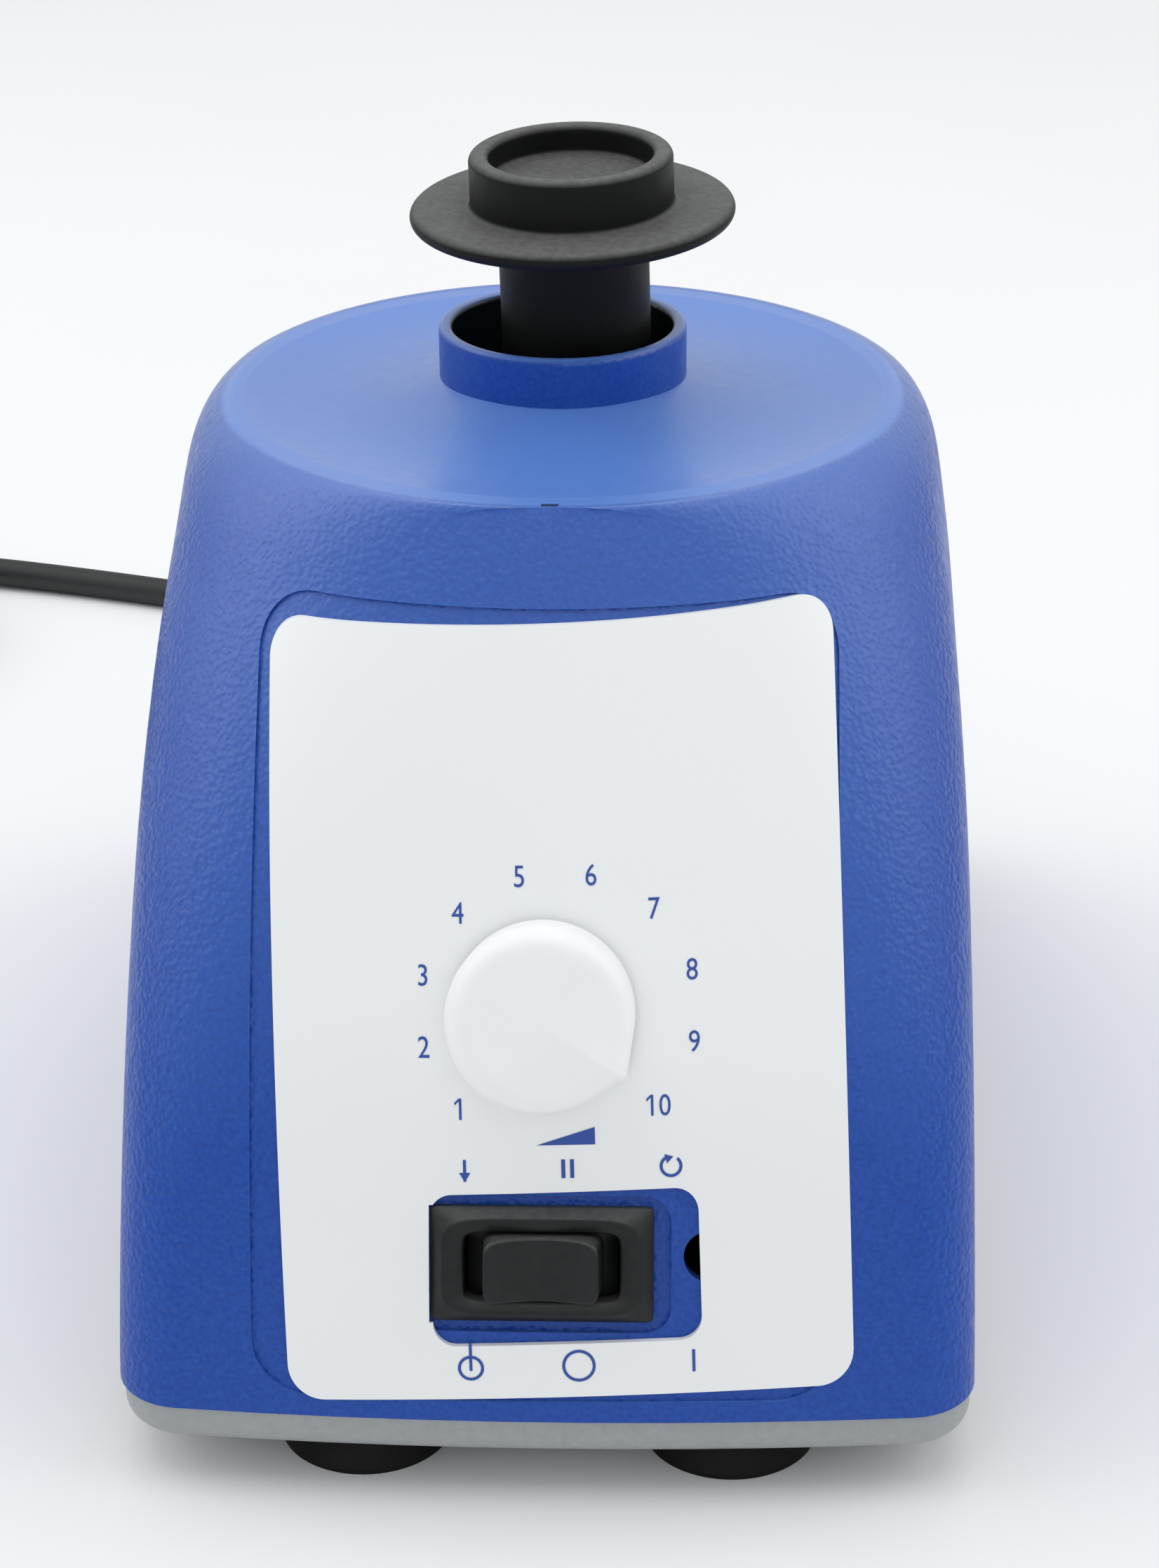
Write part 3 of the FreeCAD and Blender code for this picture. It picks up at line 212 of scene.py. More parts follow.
def letter_shape(text):
    """Faces of a number in the built-in letter shapes, one tall about the origin; a 1 gets its flag."""
    setting = bpy.data.curves.new("setting", "FONT")
    setting.body = text
    setting.resolution_u = 4
    block = bpy.data.objects.new("setting", setting)
    bpy.context.collection.objects.link(block)
    mesh = bpy.data.meshes.new_from_object(block.evaluated_get(bpy.context.evaluated_depsgraph_get()))
    flat = np.empty(len(mesh.vertices) * 3)
    mesh.vertices.foreach_get("co", flat)
    faces = [list(face.vertices) for face in mesh.polygons]
    bpy.data.objects.remove(block)
    bpy.data.curves.remove(setting)
    bpy.data.meshes.remove(mesh)
    flat = flat.reshape(-1, 3)[:, :2]
    low, high = flat.min(axis=0), flat.max(axis=0)
    flat = (flat - (low + high) / 2) / (high[1] - low[1])
    if text.startswith("1"):
        left, top = flat[:, 0].min(), 0.5
        end, low_top = left - FLAG_REACH, top - FLAG_FALL
        flag = [(left, top), (end, low_top), (end, low_top - FLAG_THICK), (left, top - FLAG_THICK)]
        faces.append([len(flat) + k for k in range(len(flag))])
        flat = np.concatenate([flat, flag])
    return flat * NUMBER_HEIGHT * np.array([NUMBER_NARROW, 1.0]), faces


def band(line, width, closed=False):
    """Flat stroke of even width along a line of points in the plane."""
    along = np.roll(line, -1, axis=0) - np.roll(line, 1, axis=0) if closed else np.gradient(line, axis=0)
    side = np.stack([-along[:, 1], along[:, 0]], axis=1)
    side = side / np.linalg.norm(along, axis=1)[:, None] * width / 2
    count = len(line)
    k = np.arange(count if closed else count - 1)
    after = (k + 1) % count
    faces = np.stack([k, after, after + count, k + count], axis=1).tolist()
    return np.concatenate([line - side, line + side]), faces


def ring(radius, start=0.0, end=360.0, steps=40):
    """Points of a circle or an arc, angles clockwise from up in degrees."""
    closed = end - start >= 360.0
    angle = np.radians(np.linspace(start, end, steps, endpoint=not closed))
    return radius * np.stack([np.sin(angle), np.cos(angle)], axis=1), closed


def print_on(name, figures):
    """One mesh of flat figures, each given as points, faces and place (x, s), askew like the label."""
    verts, faces, count = [], [], 0
    cos, sin = math.cos(LABEL_SKEW), math.sin(LABEL_SKEW)
    turn = np.array([[cos, sin], [-sin, cos]])
    for points, corners, place in figures:
        flat = points @ turn + np.array(place)
        verts.append(on_label(panel_point(flat[:, 0], flat[:, 1])))
        faces += [[count + c for c in face] for face in corners]
        count += len(points)
    mesh = bpy.data.meshes.new(name)
    mesh.from_pydata(np.concatenate(verts).tolist(), [], faces)
    ink = bpy.data.objects.new(name, mesh)
    bpy.context.collection.objects.link(ink)
    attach(ink, "stand")
    return ink


angles = DIAL_START + DIAL_STEP * np.arange(DIAL_COUNT)
dial_places = np.array(DIAL_CENTER) + DIAL_RADIUS * np.stack([np.sin(angles), np.cos(angles)], axis=1)
dial = print_on("dial_numbers", [(*letter_shape(str(n + 1)), dial_places[n]) for n in range(DIAL_COUNT)])
print("numbers printed:", DIAL_COUNT, "faces", len(dial.data.polygons))

# %% [markdown]
# ### Plain marks
# Plain marks need no language: a growing wedge for speed, and over the switch a press mark, a pause and a
# turning arrow. Below the switch stand the common signs for standby, off and on. All are strokes of even
# width along simple lines.

# %% Print the marks
STROKE = 0.42 * MM
SPEED_PLACE = (3.2 * MM, -16.9 * MM)
ROW_X = (-10.6 * MM, 3.5 * MM, 17.6 * MM)
ROW_S = (-21.9 * MM, -21.4 * MM, -21.0 * MM)
SIGN_X = (-9.8 * MM, 5.1 * MM, 20.9 * MM)
SIGN_S = (-49.9 * MM, -49.3 * MM, -48.5 * MM)
SIGN_RADIUS = 1.6 * MM
OFF_RADIUS = 2.1 * MM
BAR_HALF = 1.6 * MM
WEDGE_LENGTH = 8.0 * MM
WEDGE_HEIGHT = 2.4 * MM
PRESS_HALF = 1.5 * MM
PRESS_TIP = (0.0, -1.6 * MM)
PRESS_HEAD = 1.3 * MM
PAUSE_HALF = 1.3 * MM
PAUSE_GAP = 0.6 * MM
PAUSE_STROKE = 1.3 * STROKE
TURN_RADIUS = 1.35 * MM
TURN_SPAN = (40.0, 330.0)
TURN_HEAD = 1.1 * MM
TURN_TIP = (0.35 * MM, 1.3 * MM)
TURN_WAY = math.radians(75.0)
STANDBY_TOP = 3.6 * MM
STANDBY_LOW = -0.4 * MM
HEAD_HALF_SHARE = 0.6
RIM_MARK_PLACE = (0.2 * MM, -53.4 * MM)
RIM_MARK_SIZE = (2.4 * MM, 0.7 * MM)
RAY_TOP = 300.0 * MM


def upright(half, x=0.0, low=None, steps=6):
    """Points of an upright line at x from low or -half to half."""
    s = np.linspace(-half if low is None else low, half, steps)
    return np.stack([np.full(steps, x), s], axis=1)


def wedge(length, height):
    """Solid wedge that grows to the right."""
    x, s = length / 2, height / 2
    return np.array([(-x, -s), (x, -s), (x, s)]), [[0, 1, 2]]


def arrow_head(size, tip, way):
    """Solid three-cornered head with its tip at a point, turned by way radians from up."""
    flat = np.array([(0.0, 0.0), (size * HEAD_HALF_SHARE, -size), (-size * HEAD_HALF_SHARE, -size)])
    turn = np.array([[math.cos(way), -math.sin(way)], [math.sin(way), math.cos(way)]])
    return flat @ turn + np.array(tip), [[0, 2, 1]]


def stroke_ring(radius, start=0.0, end=360.0):
    """Stroke along a circle or an arc."""
    line, closed = ring(radius, start, end)
    return band(line, STROKE, closed)


row = list(zip(ROW_X, ROW_S))
sign = list(zip(SIGN_X, SIGN_S))
marks = [
    (*wedge(WEDGE_LENGTH, WEDGE_HEIGHT), SPEED_PLACE),
    (*band(upright(PRESS_HALF), STROKE), row[0]),
    (*arrow_head(PRESS_HEAD, PRESS_TIP, math.pi), row[0]),
    (*band(upright(PAUSE_HALF, -PAUSE_GAP), PAUSE_STROKE), row[1]),
    (*band(upright(PAUSE_HALF, PAUSE_GAP), PAUSE_STROKE), row[1]),
    (*stroke_ring(TURN_RADIUS, *TURN_SPAN), row[2]),
    (*arrow_head(TURN_HEAD, TURN_TIP, TURN_WAY), row[2]),
    (*stroke_ring(SIGN_RADIUS), sign[0]),
    (*band(upright(STANDBY_TOP, low=STANDBY_LOW), STROKE), sign[0]),
    (*stroke_ring(OFF_RADIUS), sign[1]),
    (*band(upright(BAR_HALF), STROKE), sign[2])]
panel_marks = print_on("panel_marks", marks)


def rim_dash(name, x, y, width, depth):
    """Small flat bar on the housing's rim, laid on the height found below its middle."""
    shell = nodes["housing_shell"]
    into = shell.matrix_world.inverted()
    _, place, _, _ = shell.ray_cast(into @ Vector((x, y, RAY_TOP)), into.to_3x3() @ Vector((0, 0, -1)))
    z = (shell.matrix_world @ place).z + INK_LIFT
    square = np.array([(-1, -1), (1, -1), (1, 1), (-1, 1)])
    corner = square * np.array([width, depth]) / 2 + np.array([x, y])
    mesh = bpy.data.meshes.new(name)
    mesh.from_pydata(np.c_[corner, np.full(4, z)].tolist(), [], [[0, 1, 2, 3]])
    dash = bpy.data.objects.new(name, mesh)
    bpy.context.collection.objects.link(dash)
    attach(dash, "stand")
    return dash


rim_mark = rim_dash("rim_mark", *RIM_MARK_PLACE, *RIM_MARK_SIZE)
print("marks printed:", len(marks) + 1)

# %% [markdown]
# ## Rocker switch
# The solid model has the switch as plain blocks. A moulded one has a pillow-shaped raised face and a
# saddle-backed paddle with soft edges. Both are drawn here as rings about the switch's middle. A ring is a
# superellipse: with a low power its sides bow out, with a high power it is nearly a rectangle. Rings that
# lie close together keep an edge crisp under smooth shading.

# %% Mould the switch
SWITCH_Z = 35.0 * MM
RING_STEPS = 288
PADDLE = (7.9 * MM, 4.55 * MM, 7.0)
PADDLE_TOP = 5.2 * MM
PADDLE_DIP = 2.9 * MM
PADDLE_ROUND = 0.75 * MM
SHELF_Z = -1.6 * MM
KEEL_Z = -5.0 * MM
BORDER = 0.91
FACE_START = 0.06
FACE_RINGS = 14
BORDER_RINGS = 9
BORDER_START = 0.1
PADDLE_FLARE = 0.5 * MM
FLARE_STEP = 1.01
WALL_STEP = 0.2 * MM
SHELF = (10.3 * MM, 4.57 * MM, 12.0)
KEEL = (9.6 * MM, 4.57 * MM, 12.0)
SHELF_STEP = 0.1 * MM
FRAME_RINGS = [
    (10.7, 4.95, 9.0, -5.0), (10.7, 4.95, 9.0, 0.75), (10.78, 5.03, 9.0, 1.05), (11.0, 5.25, 9.0, 1.2),
    (13.6, 6.75, 5.5, 1.22), (13.75, 6.88, 5.5, 1.2), (13.85, 6.97, 5.6, 1.12), (15.1, 7.92, 24.0, -0.32),
    (15.2, 8.02, 40.0, -0.42), (15.28, 8.08, 40.0, -0.5), (15.3, 8.1, 40.0, -0.6), (15.3, 8.1, 40.0, -1.6)]


def panel_frame(z):
    """Matrix of the panel at a height: X across, Y up the slope, Z straight out."""
    step = 0.01 * MM
    lean = math.atan2(front_line(z + step) - front_line(z - step), 2 * step)
    across, rise = Vector((1, 0, 0)), Vector((0, math.sin(lean), math.cos(lean)))
    turn = Matrix((across, rise, across.cross(rise))).transposed()
    return Matrix.Translation((0.0, front_line(z), z)) @ turn.to_4x4()


def superellipse(half_x, half_y, power):
    """Ring |x/a|^p + |y/b|^p = 1 sampled at even angles."""
    angle = 2 * np.pi * np.arange(RING_STEPS) / RING_STEPS
    across, along = np.cos(angle), np.sin(angle)
    reach = (np.abs(across / half_x) ** power + np.abs(along / half_y) ** power) ** (-1.0 / power)
    return reach * across, reach * along


def ring_surface(name, rings, place, filled):
    """Smooth mesh through rings of equal count, with one face inside the first ring if filled."""
    grid = np.asarray(rings)
    rows, count = grid.shape[:2]
    flat = grid.reshape(-1, 3) @ np.array(place.to_3x3()).T + np.array(place.translation)
    k = np.arange(count)
    low = (np.arange(rows - 1) * count)[:, None] + k[None, :]
    after = (np.arange(rows - 1) * count)[:, None] + (k[None, :] + 1) % count
    faces = np.stack([low, low + count, after + count, after], axis=2).reshape(-1, 4).tolist()
    if filled:
        faces.append(k.tolist())
    mesh = bpy.data.meshes.new(name)
    mesh.from_pydata(flat.tolist(), [], faces)
    mesh.polygons.foreach_set("use_smooth", np.ones(len(faces), bool))
    piece = bpy.data.objects.new(name, mesh)
    bpy.context.collection.objects.link(piece)
    return piece


def paddle_rings():
    """Saddle z = top - dip (1 - (x/a)^2) with a rounded border, then walls down to a shelf and the keel."""
    x, y = superellipse(*PADDLE)
    bend = np.sin(np.linspace(BORDER_START, np.pi / 2, BORDER_RINGS))
    face = np.linspace(FACE_START, BORDER, FACE_RINGS)
    share = np.concatenate([face, 1.0 - (1.0 - BORDER) * (1.0 - bend)])
    edge = np.clip((share - BORDER) / (1.0 - BORDER), 0.0, 1.0)
    drop = PADDLE_ROUND * (1.0 - np.sqrt(1.0 - edge * edge))
    saddle = PADDLE_TOP - PADDLE_DIP * (1.0 - (share[:, None] * x / PADDLE[0]) ** 2) - drop[:, None]
    top = np.stack([share[:, None] * x, share[:, None] * y, saddle], axis=2)
    foot_x, foot_y = superellipse(PADDLE[0] + PADDLE_FLARE, PADDLE[1], PADDLE[2])
    shelf_x, shelf_y = superellipse(*SHELF)
    keel_x, keel_y = superellipse(*KEEL)
    wall = np.stack([x, y, saddle[-1] - WALL_STEP], axis=1)
    low = [np.stack([a, b, np.full(RING_STEPS, z)], axis=1) for a, b, z in (
        (foot_x, foot_y, SHELF_Z + SHELF_STEP), (foot_x * FLARE_STEP, foot_y, SHELF_Z),
        (shelf_x, shelf_y, SHELF_Z), (shelf_x, shelf_y, SHELF_Z - SHELF_STEP), (keel_x, keel_y, KEEL_Z))]
    return np.concatenate([top, wall[None], np.stack(low)])


def frame_rings():
    """Rings of the bezel from the opening over the pillow face to the outer wall."""
    rings = []
    for half_x, half_y, power, z in FRAME_RINGS:
        x, y = superellipse(half_x * MM, half_y * MM, power)
        rings.append(np.stack([x, y, np.full(RING_STEPS, z * MM)], axis=1))
    return rings


switch_place = panel_frame(SWITCH_Z)
paddle = ring_surface("rocker_paddle", paddle_rings(), switch_place, True)
bezel = ring_surface("rocker_bezel", frame_rings(), switch_place, False)
for piece, node, body in ((paddle, "switch_rocker", "rocker"), (bezel, "switch_frame", "stand")):
    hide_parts(node)
    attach(piece, body)
print("switch faces", len(paddle.data.polygons), len(bezel.data.polygons))

# %% [markdown]
# ## Knob
# The knob is a teardrop with a broad round edge. Its face falls to both sides of a low ridge, which grows
# from its middle to the pointer. It is drawn as rings again: the outline is the hull of a large circle and
# a small one at the pointer, given by its reach at each angle.

# %% Mould the knob
KNOB_RADIUS = 12.65 * MM
KNOB_POINT = 13.85 * MM
KNOB_TIP = 1.1 * MM
KNOB_LOW = 0.8 * MM
KNOB_TOP = 14.8 * MM
KNOB_ROUND = 3.4 * MM
KNOB_CAVITY = 9.5 * MM
CAVITY_TOP = 4.6 * MM
POINTER = math.radians(123.0)
RIDGE_DROP = 0.2
RIDGE_REACH = 12.0 * MM
EDGE = 0.1 * MM
KNOB_FACE_START = 0.05
KNOB_FACE_RINGS = 14
KNOB_ROUND_RINGS = 12
CAVITY_CLOSE = 0.01


def teardrop_reach(off, inset):
    """Reach at each angle off the pointer of the hull of two circles, drawn in evenly by inset."""
    radius = KNOB_RADIUS - inset
    tip = KNOB_TIP * radius / KNOB_RADIUS
    rise = (KNOB_RADIUS - KNOB_TIP) / (KNOB_POINT - KNOB_TIP)
    place = (radius - tip) / rise
    lean = math.acos(rise)
    side = radius / np.cos(np.maximum(lean - np.abs(off), 0.0))
    room = tip * tip - (place * np.sin(off)) ** 2
    front = (np.abs(off) < np.pi / 2) & (room > 0.0)
    nose = np.where(front, place * np.cos(off) + np.sqrt(np.maximum(room, 0.0)), np.inf)
    return np.minimum(side, nose)


def knob_rings():
    """Face z = top - drop |d| a, d off the pointer's line and a along it, then the round edge and skirt."""
    off = 2 * np.pi * np.arange(RING_STEPS) / RING_STEPS
    off = np.where(off > np.pi, off - 2 * np.pi, off)
    way = off + np.pi / 2 - POINTER

    def ridge(reach):
        ahead = np.clip(reach * np.cos(off) / RIDGE_REACH, 0.0, 1.0)
        return RIDGE_DROP * np.abs(reach * np.sin(off)) * ahead

    def ring_at(reach, z):
        return np.stack([reach * np.cos(way), reach * np.sin(way), np.broadcast_to(z, reach.shape)], axis=1)

    face = teardrop_reach(off, KNOB_ROUND)
    shares = np.linspace(KNOB_FACE_START, 1.0, KNOB_FACE_RINGS)
    rings = [ring_at(share * face, KNOB_TOP - ridge(share * face)) for share in shares]
    for turn in np.linspace(np.pi / 2, 0.0, KNOB_ROUND_RINGS)[1:]:
        level = KNOB_TOP - KNOB_ROUND * (1.0 - math.sin(turn)) - ridge(face) * math.sin(turn)
        rings.append(ring_at(teardrop_reach(off, KNOB_ROUND * (1.0 - math.cos(turn))), level))
    skirt = teardrop_reach(off, 0.0)
    cavity = np.full(RING_STEPS, KNOB_CAVITY)
    for reach, z in (
            (skirt, KNOB_LOW + EDGE), (skirt, KNOB_LOW), (skirt - EDGE, KNOB_LOW),
            (cavity + EDGE, KNOB_LOW), (cavity, KNOB_LOW), (cavity, KNOB_LOW + EDGE),
            (cavity, CAVITY_TOP), (cavity * CAVITY_CLOSE, CAVITY_TOP)):
        rings.append(ring_at(reach, z))
    return rings


knob = ring_surface("knob_cap", knob_rings(), panel_frame(KNOB_Z), True)
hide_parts("speed_knob")
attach(knob, "knob")
print("knob faces", len(knob.data.polygons))

# %% [markdown]
# ## Rubber cup
# The cup is a turned piece, so one profile gives all of it: the floor with its small moulding mark, the
# bore, the lip, the flange with its round edge and the stem. Lines and arcs make the profile, and each of
# its points becomes a ring. The rubber sits a little crooked on its spindle, so the rings stand on a
# leaning axis.

# %% Turn the cup
CUP_TOP = 164.4 * MM
LEAN_Z = 121.4 * MM
ORBIT = 2.45 * MM
ORBIT_ANGLE = math.radians(7.0)
LEAN_FRONT = math.radians(2.8)
LEAN_LEFT = math.radians(1.25)
CUP_RADIUS = 15.1 * MM
CUP_BORE = 12.1 * MM
CUP_DEPTH = 4.2 * MM
CUP_LIP = 1.1 * MM
CUP_FILLET = 0.8 * MM
FLANGE_RADIUS = 24.1 * MM
FLANGE_DROP = 7.8 * MM
FLANGE_EDGE = 1.2 * MM
STEM_RADIUS = 11.2 * MM
STEM_DROP = 11.2 * MM
STEM_LENGTH = 40.4 * MM
MARK_RADIUS = 1.1 * MM
MARK_HEIGHT = 0.25 * MM
MARK_DOME = ((0.2, 1.0), (0.6, 0.75), (1.0, 0.0))
EDGE_STEPS = 17


def profile_arc(r, z, radius, start, end, steps=9):
    """Points of an arc of the profile about (r, z), angles in degrees."""
    angle = np.radians(np.linspace(start, end, steps))
    return np.stack([r + radius * np.cos(angle), z + radius * np.sin(angle)], axis=1)


def cup_profile():
    """Radius and height below the lip, from the middle of the floor round to the foot of the stem."""
    floor, low = -CUP_DEPTH, -FLANGE_DROP
    return np.concatenate([
        np.array(MARK_DOME) * np.array([MARK_RADIUS, MARK_HEIGHT]) + np.array([0.0, floor]),
        profile_arc(CUP_BORE - CUP_FILLET, floor + CUP_FILLET, CUP_FILLET, -90.0, 0.0),
        profile_arc(CUP_BORE + CUP_LIP, -CUP_LIP, CUP_LIP, 180.0, 90.0),
        profile_arc(CUP_RADIUS - CUP_LIP, -CUP_LIP, CUP_LIP, 90.0, 0.0),
        profile_arc(CUP_RADIUS + CUP_FILLET, low + CUP_FILLET, CUP_FILLET, 180.0, 270.0),
        profile_arc(FLANGE_RADIUS - FLANGE_EDGE, low - FLANGE_EDGE, FLANGE_EDGE, 90.0, -90.0, EDGE_STEPS),
        profile_arc(STEM_RADIUS + CUP_FILLET, -STEM_DROP - CUP_FILLET, CUP_FILLET, 90.0, 180.0),
        np.array([(STEM_RADIUS, -STEM_LENGTH)])])


def leaning_place():
    """Matrix at the cup's lip on the axis that leans about the spindle's disc."""
    axis = Vector((-math.sin(LEAN_LEFT), -math.sin(LEAN_FRONT), 1.0)).normalized()
    turn = Vector((0, 0, 1)).rotation_difference(axis).to_matrix()
    foot = Vector((ORBIT * math.cos(ORBIT_ANGLE), ORBIT * math.sin(ORBIT_ANGLE), LEAN_Z))
    return Matrix.Translation(foot + axis * (CUP_TOP - LEAN_Z)) @ turn.to_4x4()


around = 2 * np.pi * np.arange(RING_STEPS) / RING_STEPS
circle = np.stack([np.cos(around), np.sin(around)], axis=1)
cup_rings = [np.c_[r * circle, np.full(RING_STEPS, z)] for r, z in cup_profile()]
cup = ring_surface("rubber_cup", cup_rings, leaning_place(), True)
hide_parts("cup_head")
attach(cup, "head")
print("cup faces", len(cup.data.polygons))

# %% [markdown]
# ## Finishes
# Every finish reads Object coordinates, so its grain stays on the piece when the piece moves. One helper
# makes the common case: a base colour that wanders a little, a roughness that wanders with it, and a fine
# bump. Faces that look up, which the shading normal tells, are lightened with grey specks: partly dust that
# settles there, partly painted sheen of the light from above.

# %% A helper for plain finishes
# Light grey laid on up-facing faces: partly dust, partly painted sheen of the light from above.
DUST_AND_SHEEN = (0.62, 0.62, 0.61)
DUST_SPECK = 1.1 * MM
DUST_AND_SHEEN_FACING = (0.3, 1.0)
DUST_THIN = (0.7,) * 3
PATCH_DETAIL = 4.0
SPECK_DETAIL = 5.0
GRAIN_DETAIL = 3.0
WHOLE = (1.0,) * 3


def new_finish(name):
    """A new material with its node tree, its shader and the Object coordinates."""
    finish = bpy.data.materials.new(name)
    finish.use_nodes = True
    tree = finish.node_tree
    shader = tree.nodes["Principled BSDF"]
    place = tree.nodes.new("ShaderNodeTexCoord").outputs["Object"]
    return finish, tree, shader, place


def noise(tree, place, size, detail=2.0):
    """Noise whose patches are about size metres wide."""
    node = tree.nodes.new("ShaderNodeTexNoise")
    node.inputs["Scale"].default_value = 1.0 / size
    node.inputs["Detail"].default_value = detail
    tree.links.new(place, node.inputs["Vector"])
    return node.outputs["Fac"]


def ramp(tree, factor, low, high, start=0.3, end=0.7):
    """Two colours or greys blended by a factor between start and end."""
    node = tree.nodes.new("ShaderNodeValToRGB")
    node.color_ramp.elements[0].position = start
    node.color_ramp.elements[1].position = end
    node.color_ramp.elements[0].color = (*low, 1.0)
    node.color_ramp.elements[1].color = (*high, 1.0)
    tree.links.new(factor, node.inputs["Fac"])
    return node.outputs["Color"]


def blend_colours(tree, factor, first, second):
    """Second colour laid over first by a factor."""
    node = tree.nodes.new("ShaderNodeMix")
    node.data_type = "RGBA"
    tree.links.new(factor, node.inputs["Factor"])
    for value, socket in ((first, node.inputs["A"]), (second, node.inputs["B"])):
        if isinstance(value, tuple):
            socket.default_value = (*value, 1.0)
        else:
            tree.links.new(value, socket)
    return node.outputs["Result"]


def facing_up(tree, start, end):
    """Factor that rises from 0 to 1 as a face turns to look up."""
    split = tree.nodes.new("ShaderNodeSeparateXYZ")
    tree.links.new(tree.nodes.new("ShaderNodeNewGeometry").outputs["Normal"], split.inputs["Vector"])
    reach = tree.nodes.new("ShaderNodeMapRange")
    reach.inputs["From Min"].default_value = start
    reach.inputs["From Max"].default_value = end
    tree.links.new(split.outputs["Z"], reach.inputs["Value"])
    return reach.outputs["Result"]


def product(tree, first, second):
    """Two factors multiplied."""
    node = tree.nodes.new("ShaderNodeMath")
    node.operation = "MULTIPLY"
    for value, socket in ((first, node.inputs[0]), (second, node.inputs[1])):
        if isinstance(value, float):
            socket.default_value = value
        else:
            tree.links.new(value, socket)
    return node.outputs["Value"]


def raise_grain(tree, shader, height, depth):
    """Bump of about depth metres from a height factor."""
    bump = tree.nodes.new("ShaderNodeBump")
    bump.inputs["Distance"].default_value = depth
    tree.links.new(height, bump.inputs["Height"])
    tree.links.new(bump.outputs["Normal"], shader.inputs["Normal"])


def shaded(colour, share):
    """A colour made darker or lighter."""
    return tuple(c * share for c in colour)


def plain_finish(name, colour, rough, metal=0.0, wander=0.12, patch=6.0, grain=0.35, depth=0.02, dust_and_sheen=0.0,
                 specular=0.5, uneven=0.15):
    """A colour and roughness that wander over patches, with a fine bump, sizes in millimetres."""
    finish, tree, shader, place = new_finish(name)
    patches = noise(tree, place, patch * MM, PATCH_DETAIL)
    look = ramp(tree, patches, shaded(colour, 1.0 - wander), shaded(colour, 1.0 + wander))
    # Dust and painted sheen: up-facing faces get light grey specks, partly real dust, partly painted sheen
    # from the light above.
    if dust_and_sheen > 0.0:
        specks = ramp(tree, noise(tree, place, DUST_SPECK, SPECK_DETAIL), DUST_THIN, WHOLE)
        dust_and_sheen_mask = product(tree, facing_up(tree, *DUST_AND_SHEEN_FACING), specks)
        look = blend_colours(tree, product(tree, dust_and_sheen_mask, dust_and_sheen), look, DUST_AND_SHEEN)
    tree.links.new(look, shader.inputs["Base Color"])
    dull, shiny = min(rough * (1.0 + uneven), 1.0), rough * (1.0 - uneven)
    tree.links.new(ramp(tree, patches, (shiny,) * 3, (dull,) * 3), shader.inputs["Roughness"])
    raise_grain(tree, shader, noise(tree, place, grain * MM, GRAIN_DETAIL), depth * MM)
    shader.inputs["Metallic"].default_value = metal
    shader.inputs["Specular IOR Level"].default_value = specular
    return finish


# %% [markdown]
# ## Housing paint
# The housing is a casting in a grained blue stoving paint: tiny rounded bumps that catch the light. A
# lighter blue is painted on faces that look up and over the dish, standing in for the room light that falls
# there and its reflection, and a near-black is painted in the bore as painted shade. A cell pattern gives
# the bumps, which are weak in the dish and on the collar, and a fine noise varies the colour.

# %% Mix the housing paint
PAINT_DEEP = (0.005, 0.054, 0.335)
PAINT_BLUE = (0.011, 0.078, 0.42)
# Painted light: a lighter blue laid on up-facing faces and the dish, standing in for light from above and
# its reflection.
PAINTED_LIGHT_BLUE = (0.10, 0.24, 0.68)
# Painted shade: near-black laid in the bore.
BORE_PAINTED_SHADE = (0.008, 0.011, 0.016)
BORE_RADIUS = 16.8 * MM
DISH_RADIUS = 51.3 * MM
DISH_SHIFT = -2.5 * MM
DISH_SOFT = 0.4 * MM
BORE_SOFT = 0.1 * MM
DISH_PAINTED_LIGHT_FACING = (0.75, 0.9)
PAINTED_LIGHT_FACING = (0.35, 0.95)
PAINTED_LIGHT_SHARE = 0.55
PAINT_PATCH = 0.7 * MM
GLOSS_PATCH = 2.2 * MM
GLOSS_LOW = (0.28,) * 3
GLOSS_HIGH = (0.4,) * 3
COAT_FACING = (0.35, 0.9)
COAT_ROUGH = 0.42
COAT_BEND = 1.6
GRAIN_CELL = 0.8 * MM
GRAIN_DEPTH = 0.26 * MM
GRAIN_CALM = 0.12
PAINT_SPECULAR = 0.34


def within(tree, place, radius, soft, shift=0.0):
    """Factor 1 inside a radius about an upright axis moved by shift along Y, and 0 outside."""
    flat = tree.nodes.new("ShaderNodeVectorMath")
    flat.operation = "MULTIPLY_ADD"
    flat.inputs[1].default_value = (1.0, 1.0, 0.0)
    flat.inputs[2].default_value = (0.0, -shift, 0.0)
    tree.links.new(place, flat.inputs[0])
    length = tree.nodes.new("ShaderNodeVectorMath")
    length.operation = "LENGTH"
    tree.links.new(flat.outputs["Vector"], length.inputs[0])
    reach = tree.nodes.new("ShaderNodeMapRange")
    reach.inputs["From Min"].default_value = radius + soft
    reach.inputs["From Max"].default_value = radius - soft
    tree.links.new(length.outputs["Value"], reach.inputs["Value"])
    return reach.outputs["Result"]


